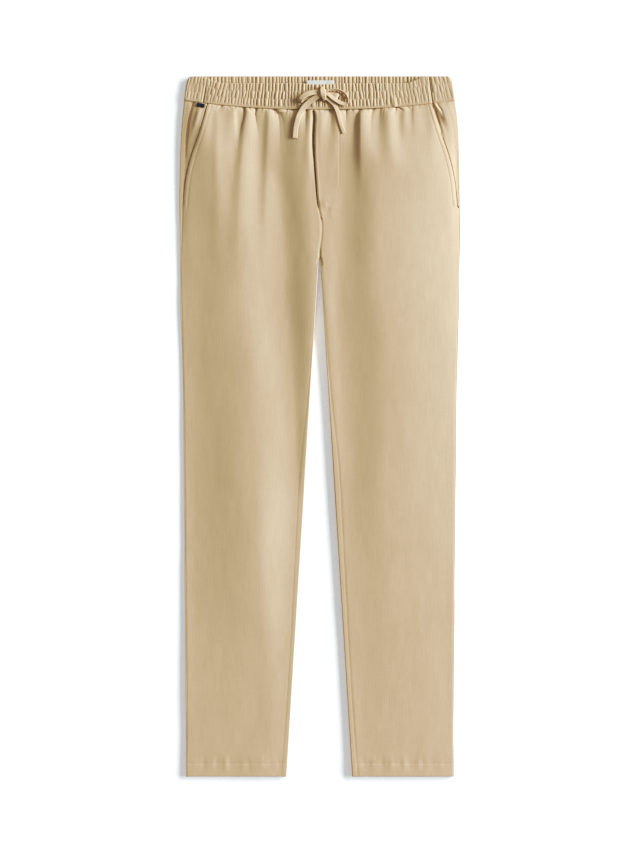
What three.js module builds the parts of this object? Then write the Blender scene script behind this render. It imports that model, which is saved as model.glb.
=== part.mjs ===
// Pull-on chinos with an elasticated drawstring waist, laid flat on their back.
//
// Millimetres. +Z is up from the surface that they lie on, +Y runs from the hems to the waist, and +X is the
// wearer's left. The origin is on that surface, under the middle of the outline.
//
// Each leg is a flattened tube of two panels. The back panel lies on the surface and rolls up round both
// edges, so that the side seam and the inseam show on the front face, as they do on a garment whose back is
// cut wider. The front panel closes the tube on top. The waistband is made in the same way.
import * as THREE from "three";

const { clamp, degToRad, lerp, smoothstep } = THREE.MathUtils;

// ---- Driving sizes ----
const LENGTH = 1100; // hem to the top of the back waistband
const TOP_Y = LENGTH / 2;
const HEM_Y = -LENGTH / 2;
const CROTCH_Y = 264;
const CLOTH = 1.2; // one layer of twill with its share of the seams
const HEM_WALL = 2.2; // the hem is turned up and stitched
const HEM_HEIGHT = 21;
const GAP = 0.3; // between two pieces that are sewn together
const FACING_GAP = 0.5; // between a front panel and the pocket facing under it
const SHIELD_GAP = 0.9; // between the front panels and the fly shield under them
const ROLL_DEPTH = 3; // how far a rolled edge reaches in from the outline
const SHOULDER = 28; // the width over which the front rises from a rolled edge
const HEM_STEP = 0.5; // half the length over which the cloth thickens at the top of the hem

// ---- The laid outline, from the waist seam down to the hem ----
// outer: half the garment's width. sideSeam, inseam: how far the back panel rolls onto the front face.
// outerRoll, innerRoll: the height of the front face at the side seam, and at the inseam or centre seam.
// body: the height of the front face between them.
const OUTLINE = [
  { y: 512, outer: 212.7, sideSeam: 12, outerRoll: 5.2, inseam: 3.4, innerRoll: 5.4, body: 5.4 },
  { y: 480, outer: 216.2, sideSeam: 10, outerRoll: 5.2, inseam: 3.4, innerRoll: 5.6, body: 5.6 },
  { y: 440, outer: 218.2, sideSeam: 7.5, outerRoll: 5, inseam: 3.4, innerRoll: 5.6, body: 5.6 },
  { y: 343, outer: 219.7, sideSeam: 4.5, outerRoll: 4.8, inseam: 3.4, innerRoll: 5.4, body: 5.4 },
  { y: 256, outer: 219, sideSeam: 3.6, outerRoll: 4.6, inseam: 3.4, innerRoll: 5.2, body: 4.6 },
  { y: 200, outer: 218, sideSeam: 3.6, outerRoll: 4.6, inseam: 3.4, innerRoll: 4.8, body: 4 },
  { y: 120, outer: 216, sideSeam: 3.6, outerRoll: 4.6, inseam: 3.4, innerRoll: 4.6, body: 3.6 },
  { y: 40, outer: 214, sideSeam: 3.6, outerRoll: 4.6, inseam: 4, innerRoll: 4.6, body: 3.6 },
  { y: -50, outer: 213, sideSeam: 3.6, outerRoll: 4.6, inseam: 9, innerRoll: 4.6, body: 3.6 },
  { y: -200, outer: 211.8, sideSeam: 3.6, outerRoll: 4.6, inseam: 8.5, innerRoll: 4.6, body: 3.8 },
  { y: -430, outer: 209.8, sideSeam: 3.6, outerRoll: 4.6, inseam: 7, innerRoll: 4.6, body: 4.4 },
  { y: -550, outer: 209.6, sideSeam: 3.6, outerRoll: 5.2, inseam: 9, innerRoll: 5.2, body: 5.2 },
];
const CROTCH_HALF_GAP = 1.3;
// The length over which the front's inner edge turns from the centre seam to the inseam.
const CROTCH_STEP = 2;
const CROTCH_BLEND = 60; // the length over which the inner shoulders die out above the crotch
const INNER_TAPER = 0.0618; // how fast the legs part, going down

// ---- The largest folds of the front ----
// Each follows a crest or trough from the upper y to the lower one.
// x: its place at the top, half way down and at the bottom.
// reach: how far its flanks spread. lift: above the face for a crest, below it for a trough.
const FOLDS = [
  { name: "right leg crown", x: [-150, -108, -109], y: [360, -420], reach: 48, lift: 2.7 },
  { name: "left leg crown", x: [88, 110, 107], y: [400, -420], reach: 52, lift: 2.7 },
  { name: "right outer gather", x: [-111, -118, -130], y: [500, 290], reach: 12, lift: 2.4 },
  { name: "right inner gather", x: [-80, -78, -70], y: [500, 320], reach: 11, lift: 2.2 },
  { name: "right thigh trough", x: [-62, -52, -36], y: [500, 40], reach: 17, lift: -0.8 },
  { name: "right fly crest", x: [-30, -22, -8], y: [500, 270], reach: 14, lift: 2 },
  { name: "left thigh trough", x: [36, 27, 44], y: [500, 40], reach: 15, lift: -0.8 },
  { name: "left inner gather", x: [68, 76, 92], y: [500, 330], reach: 14, lift: 2.4 },
  { name: "left outer gather", x: [112, 116, 121], y: [500, 370], reach: 12, lift: 2 },
];
const FOLD_TOP_FADE = 25;
const FOLD_BOTTOM_FADE = 0.45; // the share of a fold's length over which it dies out

// ---- Waistband ----
const BAND_WALL = 2.4; // two layers of cloth and the elastic between them
const BAND_BODY = 7.4; // height of the front band's face in the middle
const BAND_ROLL = 6.2;
const BAND_ROLL_DEPTH = 3.1;
const BAND_SHOULDER = 50;
const BAND_JOIN = 171; // half the length of the front band, where it meets the back band
const BACK_SEAM_Y = 512; // the back band's lower edge
const SEAM_DIP = 14; // how far the front's waist seam lies below it in the middle
const HALF_WAIST = OUTLINE[0].outer;
const SEAM_CURVE = 2.3;
// The front band's top edge: its height in the middle, and how far it has risen at a distance from there.
const BAND_TOP = { y: 537.7, rise: 11.5, half: 200, curve: 4 };
const BAND_FLOOR = 410; // length of the back band that lies on the surface
const BAND_TOP_STEPS = 8; // cells of the back band from a join to the side fold
const WAIST_BLEND = 120; // the length below the seam over which the panels' rows straighten
const BAND_PITCH = 7; // from one gather to the next
const BAND_GATHER = 0.7; // height of a gather
const BAND_PINCH = 0.5; // how far the elastic's stitch rows pull the face in
const BAND_EDGE = [
  { y: 550, outer: 201 },
  { y: 548, outer: 205 },
  { y: 544, outer: 207.5 },
  { y: 534, outer: 209.8 },
  { y: 512, outer: 212.7 },
];

// ---- Pockets, fly and small pieces ----
const POCKET_EDGE = [
  { y: 512, x: 174.5 },
  { y: 462, x: 188.5 },
  { y: 425, x: 201 },
  { y: 390, x: 209.6 },
  { y: 343, x: 214.9 },
];
const POCKET_END_Y = 343;
const FACING_UNDER = 22; // how far the pocket facing reaches under the front
const FLY = { yTop: 498, yBottom: 345, xTop: -9.5, xBottom: 0, slit: 3, ends: 0.6 };
const SHIELD = { under: 12, reach: 28 }; // the fly shield, from the slit to the wearer's right and left
const LABEL = { x: 1.3, y: 532, width: 44, height: 22, thickness: 0.5 };
const TAB = { x: -186.4, y: 503.8, width: 15, height: 6, thickness: 0.7, tilt: -12 };

// ---- Drawstring ----
const TAPE = { width: 8, thickness: 2.4, sides: 8, step: 5 };
const KNOT = { x: 5.5, y: 521.5, z: 12.8, width: 9, length: 19, height: 8, segments: [14, 10] };
const ROUTES = {
  drawstring_stem_left: [[29, 520, 9.7], [22, 520.4, 9.7], [16, 520.8, 9.8], [10, 521.2, 10]],
  drawstring_stem_right: [[-26, 519.4, 9.7], [-17, 519.8, 9.7], [-8, 520.6, 9.8], [1, 521.2, 10]],
  drawstring_loop_left: [
    [10.4, 525.4, 12.6], [17, 527.8, 12.5], [25, 528.6, 12.2], [34, 527, 11], [41, 521.5, 10],
    [44, 514, 9.8], [41.5, 507.5, 10.2], [35, 505.8, 11.4], [27, 509, 12.4], [19, 513.6, 12.5],
    [10.6, 517.8, 12.6],
  ],
  drawstring_loop_right: [
    [0.4, 526.2, 12.6], [-7, 527.4, 12.5], [-15, 526.6, 12.4], [-23, 523.6, 12.8], [-29.5, 518.6, 12.1],
    [-32, 512.6, 10.2], [-29, 508.2, 9.8], [-24, 508.6, 9.7], [-19, 510.8, 9.7],
  ],
  drawstring_tail_left: [
    [8.2, 511.4, 10], [14, 509, 9.8], [20, 505, 9.8], [25, 499.2, 9.8], [28.5, 492, 8.8],
    [32, 482, 7.6], [35.4, 471.6, 7], [38.3, 461.4, 6.9],
  ],
  drawstring_tail_right: [
    [1.2, 517.2, 12.6], [-8.6, 514.6, 12.5], [-16.8, 508.6, 12.3], [-25, 498.6, 11.2], [-31, 488, 9.8],
    [-35.4, 475, 9.2], [-37.6, 462, 8.9], [-38.2, 451.8, 8.7],
  ],
};

// ---- Materials ----
const cloth = new THREE.MeshStandardMaterial({ color: 0xccb68c, roughness: 0.9, metalness: 0 });
const facingCloth = new THREE.MeshStandardMaterial({ color: 0xc3ac82, roughness: 0.9, metalness: 0 });
const bandCloth = new THREE.MeshStandardMaterial({ color: 0xcfba92, roughness: 0.9, metalness: 0 });
const tapeCloth = new THREE.MeshStandardMaterial({ color: 0xd3c09a, roughness: 0.85, metalness: 0 });
const labelWeave = new THREE.MeshStandardMaterial({ color: 0xefe9dc, roughness: 0.6, metalness: 0 });
const tabWeave = new THREE.MeshStandardMaterial({ color: 0x23283a, roughness: 0.7, metalness: 0 });

const chinos = new THREE.Group();

function addMesh(name, geometry, material) {
  const mesh = new THREE.Mesh(geometry, material);
  mesh.name = name;
  chinos.add(mesh);
  return mesh;
}

// ---- Forms that the pieces share ----

// The value of a column at y, in a table whose rows run down from the waist.
function column(table, y, key) {
  const below = table.findIndex((row) => row.y <= y);
  if (below === 0) return table[0][key];
  if (below < 0) return table[table.length - 1][key];
  const [a, b] = [table[below - 1], table[below]];
  return lerp(a[key], b[key], (a.y - y) / (a.y - b.y));
}

// Half the gap between the legs' silhouettes.
function innerEdge(y) {
  return CROTCH_HALF_GAP + INNER_TAPER * Math.max(0, CROTCH_Y - y);
}

function sideSeamX(y) {
  return column(OUTLINE, y, "outer") - column(OUTLINE, y, "sideSeam");
}

function inseamX(y) {
  return y > CROTCH_Y + CROTCH_STEP ? 0 : innerEdge(y) + column(OUTLINE, y, "inseam");
}

// The waist seam on the front face dips towards the middle, and so does the front band's top edge.
function waistSeamY(x) {
  return BACK_SEAM_Y - SEAM_DIP * (1 - (Math.abs(x) / HALF_WAIST) ** SEAM_CURVE);
}

function frontBandTopY(x) {
  return Math.min(TOP_Y, BAND_TOP.y + BAND_TOP.rise * (Math.abs(x) / BAND_TOP.half) ** BAND_TOP.curve);
}

function wallAt(y) {
  return y < HEM_Y + HEM_HEIGHT ? HEM_WALL : CLOTH;
}

// 0 at a rolled edge, and 1 beyond its shoulder.
function rise(distance, shoulder) {
  return Math.sin((Math.PI / 2) * clamp(distance / shoulder, 0, 1));
}

function foldHeight(fold, x, y) {
  const [xTop, xMiddle, xBottom] = fold.x;
  const [yTop, yBottom] = fold.y;
  const t = (yTop - y) / (yTop - yBottom);
  if (t < 0 || t > 1) return 0;
  const crest = xTop * (1 - t) * (1 - 2 * t) + xMiddle * 4 * t * (1 - t) + xBottom * t * (2 * t - 1);
  const along = smoothstep(yTop - y, 0, FOLD_TOP_FADE) * (1 - smoothstep(t, 1 - FOLD_BOTTOM_FADE, 1));
  return fold.lift * along * Math.exp(-(((x - crest) / fold.reach) ** 2));
}

// The height of the front face.
function faceHeight(x, y) {
  const toSide = sideSeamX(y) - Math.abs(x);
  const toInner = Math.abs(x) - inseamX(y);
  const body = column(OUTLINE, y, "body");
  const outerDrop = (body - column(OUTLINE, y, "outerRoll")) * (1 - rise(toSide, SHOULDER));
  const innerDrop = (body - column(OUTLINE, y, "innerRoll")) * (1 - rise(toInner, SHOULDER));
  const legs = 1 - smoothstep(y, CROTCH_Y, CROTCH_Y + CROTCH_BLEND);
  const room = rise(toSide, SHOULDER) * lerp(1, rise(toInner, SHOULDER), legs);
  const folds = FOLDS.reduce((sum, fold) => sum + foldHeight(fold, x, y), 0);
  return body - outerDrop - innerDrop + folds * room;
}

function flySlit(y) {
  const t = clamp((FLY.yTop - y) / (FLY.yTop - FLY.yBottom), 0, 1);
  const middle = lerp(FLY.xTop, FLY.xBottom, t);
  const half = (GAP + (FLY.slit - GAP) * Math.sin(Math.PI * t) ** FLY.ends) / 2;
  return y > CROTCH_Y + CROTCH_STEP ? { right: middle - half, left: middle + half } : null;
}

// ---- Sheets of cloth ----

// A closed sheet between two grids of points, grid[row][column]. keep says which cells are cloth.
function sheetGeometry(outer, inner, keep = () => true) {
  const [rows, columns] = [outer.length, outer[0].length];
  const corner = (row, col, layer) => (layer * rows + row) * columns + col;
  const isCloth = (row, col) => row >= 0 && col >= 0 && row < rows - 1 && col < columns - 1 && keep(row, col);
  const index = [];
  const quad = (a, b, c, d) => index.push(a, b, c, a, c, d);
  for (let row = 0; row < rows - 1; row++)
    for (let col = 0; col < columns - 1; col++) {
      if (!isCloth(row, col)) continue;
      const around = [[row, col], [row, col + 1], [row + 1, col + 1], [row + 1, col]];
      const beyond = [[row - 1, col], [row, col + 1], [row + 1, col], [row, col - 1]];
      const [upper, lower] = [0, 1].map((layer) => around.map(([r, c]) => corner(r, c, layer)));
      quad(...upper);
      quad(...lower.slice().reverse());
      beyond.forEach(([r, c], side) => {
        const next = (side + 1) % 4;
        if (!isCloth(r, c)) quad(upper[next], upper[side], lower[side], lower[next]);
      });
    }
  const points = [...outer.flat(), ...inner.flat()];
  const geometry = new THREE.BufferGeometry();
  geometry.setAttribute("position", new THREE.Float32BufferAttribute(points.flat(), 3));
  geometry.setIndex(volume(points, index) < 0 ? index.reverse() : index);
  geometry.computeVertexNormals();
  return geometry;
}

function volume(points, index) {
  const corners = points.map((point) => new THREE.Vector3(...point));
  let sum = 0;
  for (let i = 0; i < index.length; i += 3) {
    const [a, b, c] = [corners[index[i]], corners[index[i + 1]], corners[index[i + 2]]];
    sum += a.dot(b.clone().cross(c)) / 6;
  }
  return sum;
}

// A sheet whose top face is height(x, y), under place(row, share), which gives each grid point's x and y.
function addFaceSheet(name, material, ys, cells, place, height, wall) {
  const outer = [];
  const inner = [];
  for (const y of ys) {
    const across = Array.from({ length: cells + 1 }, (_, i) => place(y, i / cells));
    outer.push(across.map(([x, py]) => [x, py, height(x, py)]));
    inner.push(across.map(([x, py]) => [x, py, height(x, py) - wall(py)]));
  }
  return addMesh(name, sheetGeometry(outer, inner), material);
}

const ROLL_ANGLES = [90, 45, 0, -45, -90].map(degToRad); // of the points round a rolled edge

// Half of a flattened tube's section: from a seam on the front face, out and round the rolled edge to the
// surface.
// Returns [outer point, inner point] pairs of [x, z], for an edge that faces +x.
function rolledEdge({ seamX, seamZ, edgeX, roll, depth, wall, topSteps = 1 }) {
  const pairs = [];
  for (let i = 0; i < topSteps; i++) {
    const x = lerp(seamX, edgeX - depth, i / topSteps);
    const z = lerp(seamZ, roll, i / topSteps);
    pairs.push([[x, z], [x, z - wall]]);
  }
  for (const angle of ROLL_ANGLES) {
    const [c, s] = [Math.cos(angle), Math.sin(angle)];
    pairs.push([
      [edgeX - depth + depth * c, (roll / 2) * (1 + s)],
      [edgeX - depth + (depth - wall) * c, roll / 2 + (roll / 2 - wall) * s],
    ]);
  }
  return pairs;
}

// ---- Back panels ----

const BACK_ROWS = [
  BACK_SEAM_Y, 480, 440, 400, POCKET_END_Y, 300, CROTCH_Y + CROTCH_STEP, CROTCH_Y,
  200, 120, 40, -50, -200, -315, -430, HEM_Y + HEM_HEIGHT + HEM_STEP, HEM_Y + HEM_HEIGHT - HEM_STEP, HEM_Y,
];
const BACK_FLOOR_CELLS = 3;

function addBackPanel(name, side) {
  let foldStart = 0;
  const grids = BACK_ROWS.map((y) => {
    const wall = wallAt(y);
    const outerRoll = column(OUTLINE, y, "outerRoll");
    const innerRoll = column(OUTLINE, y, "innerRoll");
    const outside = rolledEdge({
      seamX: sideSeamX(y), seamZ: outerRoll, edgeX: column(OUTLINE, y, "outer"),
      roll: outerRoll, depth: ROLL_DEPTH, wall,
    });
    const inside = rolledEdge({
      seamX: -inseamX(y), seamZ: innerRoll, edgeX: -innerEdge(y), roll: innerRoll, depth: ROLL_DEPTH, wall,
    }).map((pair) => pair.map(([x, z]) => [-x, z])).reverse();
    if (y > CROTCH_Y) inside[0] = [[GAP / 2, 0], [GAP / 2, wall]];
    const from = outside[outside.length - 1][0][0];
    const to = inside[0][0][0];
    const floor = Array.from({ length: BACK_FLOOR_CELLS - 1 }, (_, i) => {
      const x = lerp(from, to, (i + 1) / BACK_FLOOR_CELLS);
      return [[x, 0], [x, wall]];
    });
    foldStart = outside.length + floor.length;
    return [...outside, ...floor, ...inside];
  });
  const point = (y) => ([x, z]) => {
    const onFront = z > column(OUTLINE, y, "outerRoll") / 2;
    const atSeam = y === BACK_SEAM_Y;
    const top = (onFront && atSeam ? waistSeamY(x) : y) - (atSeam ? GAP / 2 : 0);
    return [side * x, top, z];
  };
  const [outer, inner] = [0, 1].map((layer) =>
    BACK_ROWS.map((y, row) => grids[row].map((pair) => point(y)(pair[layer]))));
  const crotchRow = BACK_ROWS.indexOf(CROTCH_Y);
  addMesh(name, sheetGeometry(outer, inner, (row, col) => row >= crotchRow || col < foldStart), cloth);
}

addBackPanel("back_left", 1);
addBackPanel("back_right", -1);

// ---- Front panels ----

const FRONT_ROWS = [
  FLY.yTop, 484, 470, 456, 440, 424, 408, 390, 372, 357, POCKET_END_Y, 325, 300, 278,
  CROTCH_Y + 2 * CROTCH_STEP, CROTCH_Y + CROTCH_STEP,
  200, 160, 120, 80, 40, -50, -125, -200, -260, -315, -430,
  HEM_Y + HEM_HEIGHT + HEM_STEP, HEM_Y + HEM_HEIGHT - HEM_STEP, HEM_Y + GAP / 2,
];
const FRONT_CELLS = 19;

// The rows near the waist follow the dip of the waist seam.
function alongWaist(x, y) {
  const dip = waistSeamY(x) - waistSeamY(0);
  return y - GAP / 2 + dip * (1 - smoothstep(waistSeamY(0) - y, 0, WAIST_BLEND));
}

function addFrontPanel(name, side) {
  const place = (y, share) => {
    const slit = flySlit(y);
    const inner = slit ? side * (side > 0 ? slit.left : slit.right) : inseamX(y) + GAP;
    const outerY = alongWaist(column(OUTLINE, y, "outer"), y);
    const opening = y > POCKET_END_Y ? column(POCKET_EDGE, outerY, "x") : Infinity;
    const outer = Math.min(sideSeamX(outerY) - GAP, opening);
    const x = side * lerp(inner, outer, share);
    return [x, alongWaist(x, y)];
  };
  addFaceSheet(name, cloth, FRONT_ROWS, FRONT_CELLS, place, faceHeight, wallAt);
}

addFrontPanel("front_left", 1);
addFrontPanel("front_right", -1);

// ---- Pocket facings, which show inside the slant pocket openings ----

const FACING_ROWS = [FLY.yTop, 480, 460, 440, 420, 400, 376, 354];
const FACING_CELLS = 4;

// The top face of a layer that lies under the front.
function underHeight(gap) {
  return (x, y) => faceHeight(x, y) - CLOTH - gap;
}

function addPocketFacing(name, side) {
  const place = (y, share) => {
    const outerY = alongWaist(column(OUTLINE, y, "outer"), y);
    const x = side * lerp(column(POCKET_EDGE, outerY, "x") - FACING_UNDER, sideSeamX(outerY) - GAP, share);
    return [x, alongWaist(x, y)];
  };
  addFaceSheet(name, facingCloth, FACING_ROWS, FACING_CELLS, place, underHeight(FACING_GAP), () => CLOTH);
}

addPocketFacing("pocket_facing_left", 1);
addPocketFacing("pocket_facing_right", -1);

// ---- Fly shield, which closes the fly behind its slit ----

const SHIELD_ROWS = [FLY.yTop, 478, 456, 432, 408, 384, FLY.yBottom];
const SHIELD_CELLS = 4;

addFaceSheet(
  "fly_shield", facingCloth, SHIELD_ROWS, SHIELD_CELLS,
  (y, share) => {
    const { left, right } = flySlit(y);
    const x = lerp(right - SHIELD.under, left + SHIELD.reach, share);
    return [x, alongWaist(x, y)];
  },
  underHeight(SHIELD_GAP), () => CLOTH,
);

// ---- Waistband ----

function gather(x) {
  return Math.abs(((Math.abs(x) / BAND_PITCH) % 1) - 0.5) * 2 * BAND_GATHER;
}

function bandHeight(x) {
  const toEdge = column(BAND_EDGE, BACK_SEAM_Y, "outer") - Math.abs(x);
  return BAND_ROLL + (BAND_BODY - BAND_ROLL) * rise(toEdge, BAND_SHOULDER);
}

const BAND_ROWS = [0, 0.38, 0.7, 1]; // the edges and the two stitch rows of the elastic
const pinchAt = (row) => (row === 1 || row === 2 ? BAND_PINCH : 0);

function addFrontBand() {
  const half = BAND_JOIN - GAP / 2;
  const cells = 2 * Math.round((2 * half) / BAND_PITCH);
  const xs = Array.from({ length: cells + 1 }, (_, i) => lerp(-half, half, i / cells));
  const layer = (offset) => BAND_ROWS.map((share, row) => xs.map((x, i) => {
    const y = lerp(waistSeamY(x) + GAP / 2, frontBandTopY(x), share);
    return [x, y, bandHeight(x) + (i % 2) * BAND_GATHER - pinchAt(row) - offset];
  }));
  addMesh("waistband_front", sheetGeometry(layer(0), layer(BAND_WALL)), bandCloth);
}

addFrontBand();

// The back band lies on the floor, and rolls round both sides onto the front face.
function addBackBand() {
  const floorCells = 2 * Math.round(BAND_FLOOR / (3 * BAND_PITCH));
  const [outer, inner] = [[], []];
  BAND_ROWS.forEach((share, row) => {
    const edgeY = lerp(BACK_SEAM_Y, TOP_Y, share);
    const edge = rolledEdge({
      seamX: BAND_JOIN + GAP / 2, seamZ: bandHeight(BAND_JOIN), edgeX: column(BAND_EDGE, edgeY, "outer"),
      roll: BAND_ROLL, depth: BAND_ROLL_DEPTH, wall: BAND_WALL, topSteps: BAND_TOP_STEPS,
    });
    const [, floorZ] = edge[edge.length - 1][1];
    const halfFloor = edge[edge.length - 1][0][0];
    const floor = Array.from({ length: floorCells - 1 }, (_, i) => {
      const x = lerp(halfFloor, -halfFloor, (i + 1) / floorCells);
      return [[x, 0], [x, floorZ + ((i + 1) % 2) * BAND_GATHER - pinchAt(row)]];
    });
    const mirrored = edge.map((pair) => pair.map(([x, z]) => [-x, z])).reverse();
    const place = ([x, z]) => {
      const onFront = z > BAND_ROLL / 2;
      const low = (onFront ? waistSeamY(x) : BACK_SEAM_Y) + GAP / 2;
      return [x, lerp(low, onFront ? frontBandTopY(x) : TOP_Y, share), z];
    };
    const section = [...edge, ...floor, ...mirrored];
    outer.push(section.map((pair) => place(pair[0])));
    inner.push(section.map((pair) => place(pair[1])));
  });
  addMesh("waistband_back", sheetGeometry(outer, inner), bandCloth);
}

addBackBand();

// ---- Label inside the back waistband, and tab at the pocket ----

function addLabel() {
  const geometry = new THREE.BoxGeometry(LABEL.width, LABEL.height, LABEL.thickness);
  const label = addMesh("waist_label", geometry, labelWeave);
  label.position.set(LABEL.x, LABEL.y, BAND_WALL + BAND_GATHER + GAP + LABEL.thickness / 2);
}

addLabel();

function addTab() {
  const geometry = new THREE.BoxGeometry(TAB.width, TAB.height, TAB.thickness);
  const tab = addMesh("pocket_tab", geometry, tabWeave);
  tab.position.set(TAB.x, TAB.y, underHeight(FACING_GAP)(TAB.x, TAB.y) + GAP + TAB.thickness);
  tab.rotation.set(0, 0, degToRad(TAB.tilt));
}

addTab();

// ---- Drawstring ----

function addTape(name, route) {
  const curve = new THREE.CatmullRomCurve3(route.map((point) => new THREE.Vector3(...point)));
  const section = new THREE.Shape(
    Array.from({ length: TAPE.sides }, (_, i) => {
      const angle = (2 * Math.PI * (i + 0.5)) / TAPE.sides;
      return new THREE.Vector2((TAPE.thickness / 2) * Math.cos(angle), (TAPE.width / 2) * Math.sin(angle));
    }),
  );
  const steps = Math.ceil(curve.getLength() / TAPE.step);
  addMesh(name, new THREE.ExtrudeGeometry(section, { steps, extrudePath: curve }), tapeCloth);
}

for (const [name, route] of Object.entries(ROUTES)) addTape(name, route);

function addKnot() {
  const knot = addMesh("drawstring_knot", new THREE.SphereGeometry(0.5, ...KNOT.segments), tapeCloth);
  knot.scale.set(KNOT.width, KNOT.length, KNOT.height);
  knot.position.set(KNOT.x, KNOT.y, KNOT.z);
}

addKnot();

export default chinos;
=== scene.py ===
"""Pull-on chinos with an elasticated drawstring waist, laid flat on their back.

Sizes are in millimetres in the frame of the CAD model: +X to the wearer's left, +Y from the hems to
the waist and +Z up from the surface. They become metres where a mesh is made. Each piece of cloth is a
thin closed sheet whose face is a height over the surface, worked out by numpy from the tables below.
A side is 1 for the wearer's left and -1 for their right.
"""

import math

import bpy
import numpy as np
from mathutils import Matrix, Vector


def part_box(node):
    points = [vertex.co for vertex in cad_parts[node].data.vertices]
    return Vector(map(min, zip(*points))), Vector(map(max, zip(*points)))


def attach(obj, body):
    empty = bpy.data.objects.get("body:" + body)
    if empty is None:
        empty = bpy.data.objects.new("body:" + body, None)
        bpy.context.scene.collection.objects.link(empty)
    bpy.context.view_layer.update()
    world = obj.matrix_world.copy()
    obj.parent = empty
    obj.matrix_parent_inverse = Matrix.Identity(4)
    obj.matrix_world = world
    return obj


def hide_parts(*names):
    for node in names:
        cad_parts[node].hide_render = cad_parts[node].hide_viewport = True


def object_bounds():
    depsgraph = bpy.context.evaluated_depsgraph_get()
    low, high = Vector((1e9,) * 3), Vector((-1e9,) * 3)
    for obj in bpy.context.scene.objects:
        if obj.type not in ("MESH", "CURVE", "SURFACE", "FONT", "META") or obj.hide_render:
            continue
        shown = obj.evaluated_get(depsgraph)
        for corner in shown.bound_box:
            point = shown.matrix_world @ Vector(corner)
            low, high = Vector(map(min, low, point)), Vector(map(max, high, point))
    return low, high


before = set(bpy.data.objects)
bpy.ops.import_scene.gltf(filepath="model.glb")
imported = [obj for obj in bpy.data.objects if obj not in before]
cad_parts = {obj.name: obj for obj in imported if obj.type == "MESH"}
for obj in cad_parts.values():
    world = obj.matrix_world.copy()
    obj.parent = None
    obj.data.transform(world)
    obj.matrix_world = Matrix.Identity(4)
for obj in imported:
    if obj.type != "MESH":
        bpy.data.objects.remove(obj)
CAD_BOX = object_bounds()

MM = 0.001
TOP_Y = CAD_BOX[1].y / MM
HEM_Y = CAD_BOX[0].y / MM

# ------------ sizes, as in the CAD model
CROTCH_Y = 264
CROTCH_STEP = 0.3
LEGS_TOP_Y = CROTCH_Y + CROTCH_STEP
CROTCH_HALF_GAP = 1.1
INNER_TAPER = 0.0618
CLOTH = 1.2
THIN_CLOTH = 0.9
# The least heights over the surface of the front face, of its inner side, and of what lies under it.
LEAST_FACE = 2.6
LEAST_LINING = 1.35
LEAST_FACING = 2.4
HEM_WALL = 2.2
HEM_HEIGHT = 21
HEM_LINE_Y = HEM_Y + HEM_HEIGHT
GAP = 0.1
ROLL_DEPTH = 0.6
INNER_ROLL_DEPTH = 0.5


def table(keys, rows):
    """The columns of a list of rows, by name."""
    return dict(zip(keys, np.array(rows, float).T))


# The laid outline, from the waist seam down to the hem: half the width, how far the back panel rolls
# onto the front face at the side seam of each side and at the inseam, and the heights of the rolled
# outer edge and of the face between the edges.
OUTLINE_ROWS = [
    # y, outer, right side seam, left side seam, outer roll, inseam, body
    (512, 212.7, 14.0, 13.0, 4.6, 3.4, 5.4),
    (480, 216.2, 9.4, 7.5, 4.4, 3.4, 5.6),
    (440, 218.2, 6.9, 4.6, 4.2, 3.4, 5.6),
    (400, 219.2, 6.2, 3.6, 4.0, 3.4, 5.5),
    (343, 219.7, 4.6, 2.0, 3.8, 3.4, 5.2),
    (256, 219.0, 1.6, 1.2, 3.9, 1.4, 4.6),
    (200, 218.0, 1.2, 1.2, 4.0, 1.4, 4.4),
    (120, 216.0, 1.2, 1.2, 4.1, 2.0, 4.3),
    (40, 214.0, 1.2, 1.2, 4.2, 4.0, 4.2),
    (-50, 213.0, 1.2, 1.2, 4.4, 8.6, 4.3),
    (-200, 211.8, 1.2, 1.2, 4.6, 8.2, 4.4),
    (-430, 209.8, 1.2, 1.2, 4.8, 7.0, 4.7),
    (-550, 209.6, 1.2, 1.2, 5.0, 8.6, 5.1),
]
OUTLINE = table(("y", "outer", "right_seam", "left_seam", "outer_roll", "inseam", "body"), OUTLINE_ROWS)

# The slant pocket openings: the front panel's outer edge, down from the waist seam.
POCKET_END_Y = 343
POCKET_Y = [512, 462, 425, 390, POCKET_END_Y]
POCKET_X = [174.5, 188.5, 201, 209.6, 214.9]
POCKET_STITCH = 6.6
FLY_TOP_Y, FLY_END_Y = 498, 339
# The middle of the fly's slit, and of the centre seam below it, down to the crotch.
SLIT_Y = [498, 484, 471, 450, 434, 418, 402, 387, 371, 355, 340, 333, 323, 292, 280, 264]
SLIT_X = [-9.9, -8.4, -9.1, -9.7, -9.3, -8.3, -7.2, -6.1, -5.0, -3.6, -1.5, 0, 2.6, 2.4, 0.5, 0]
# The J of topstitching beside the fly.
FLY_STITCH_X = 31.5
FLY_CURVE_Y = 378
FLY_FOOT_X, FLY_FOOT_Y = 2.5, 348

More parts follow.
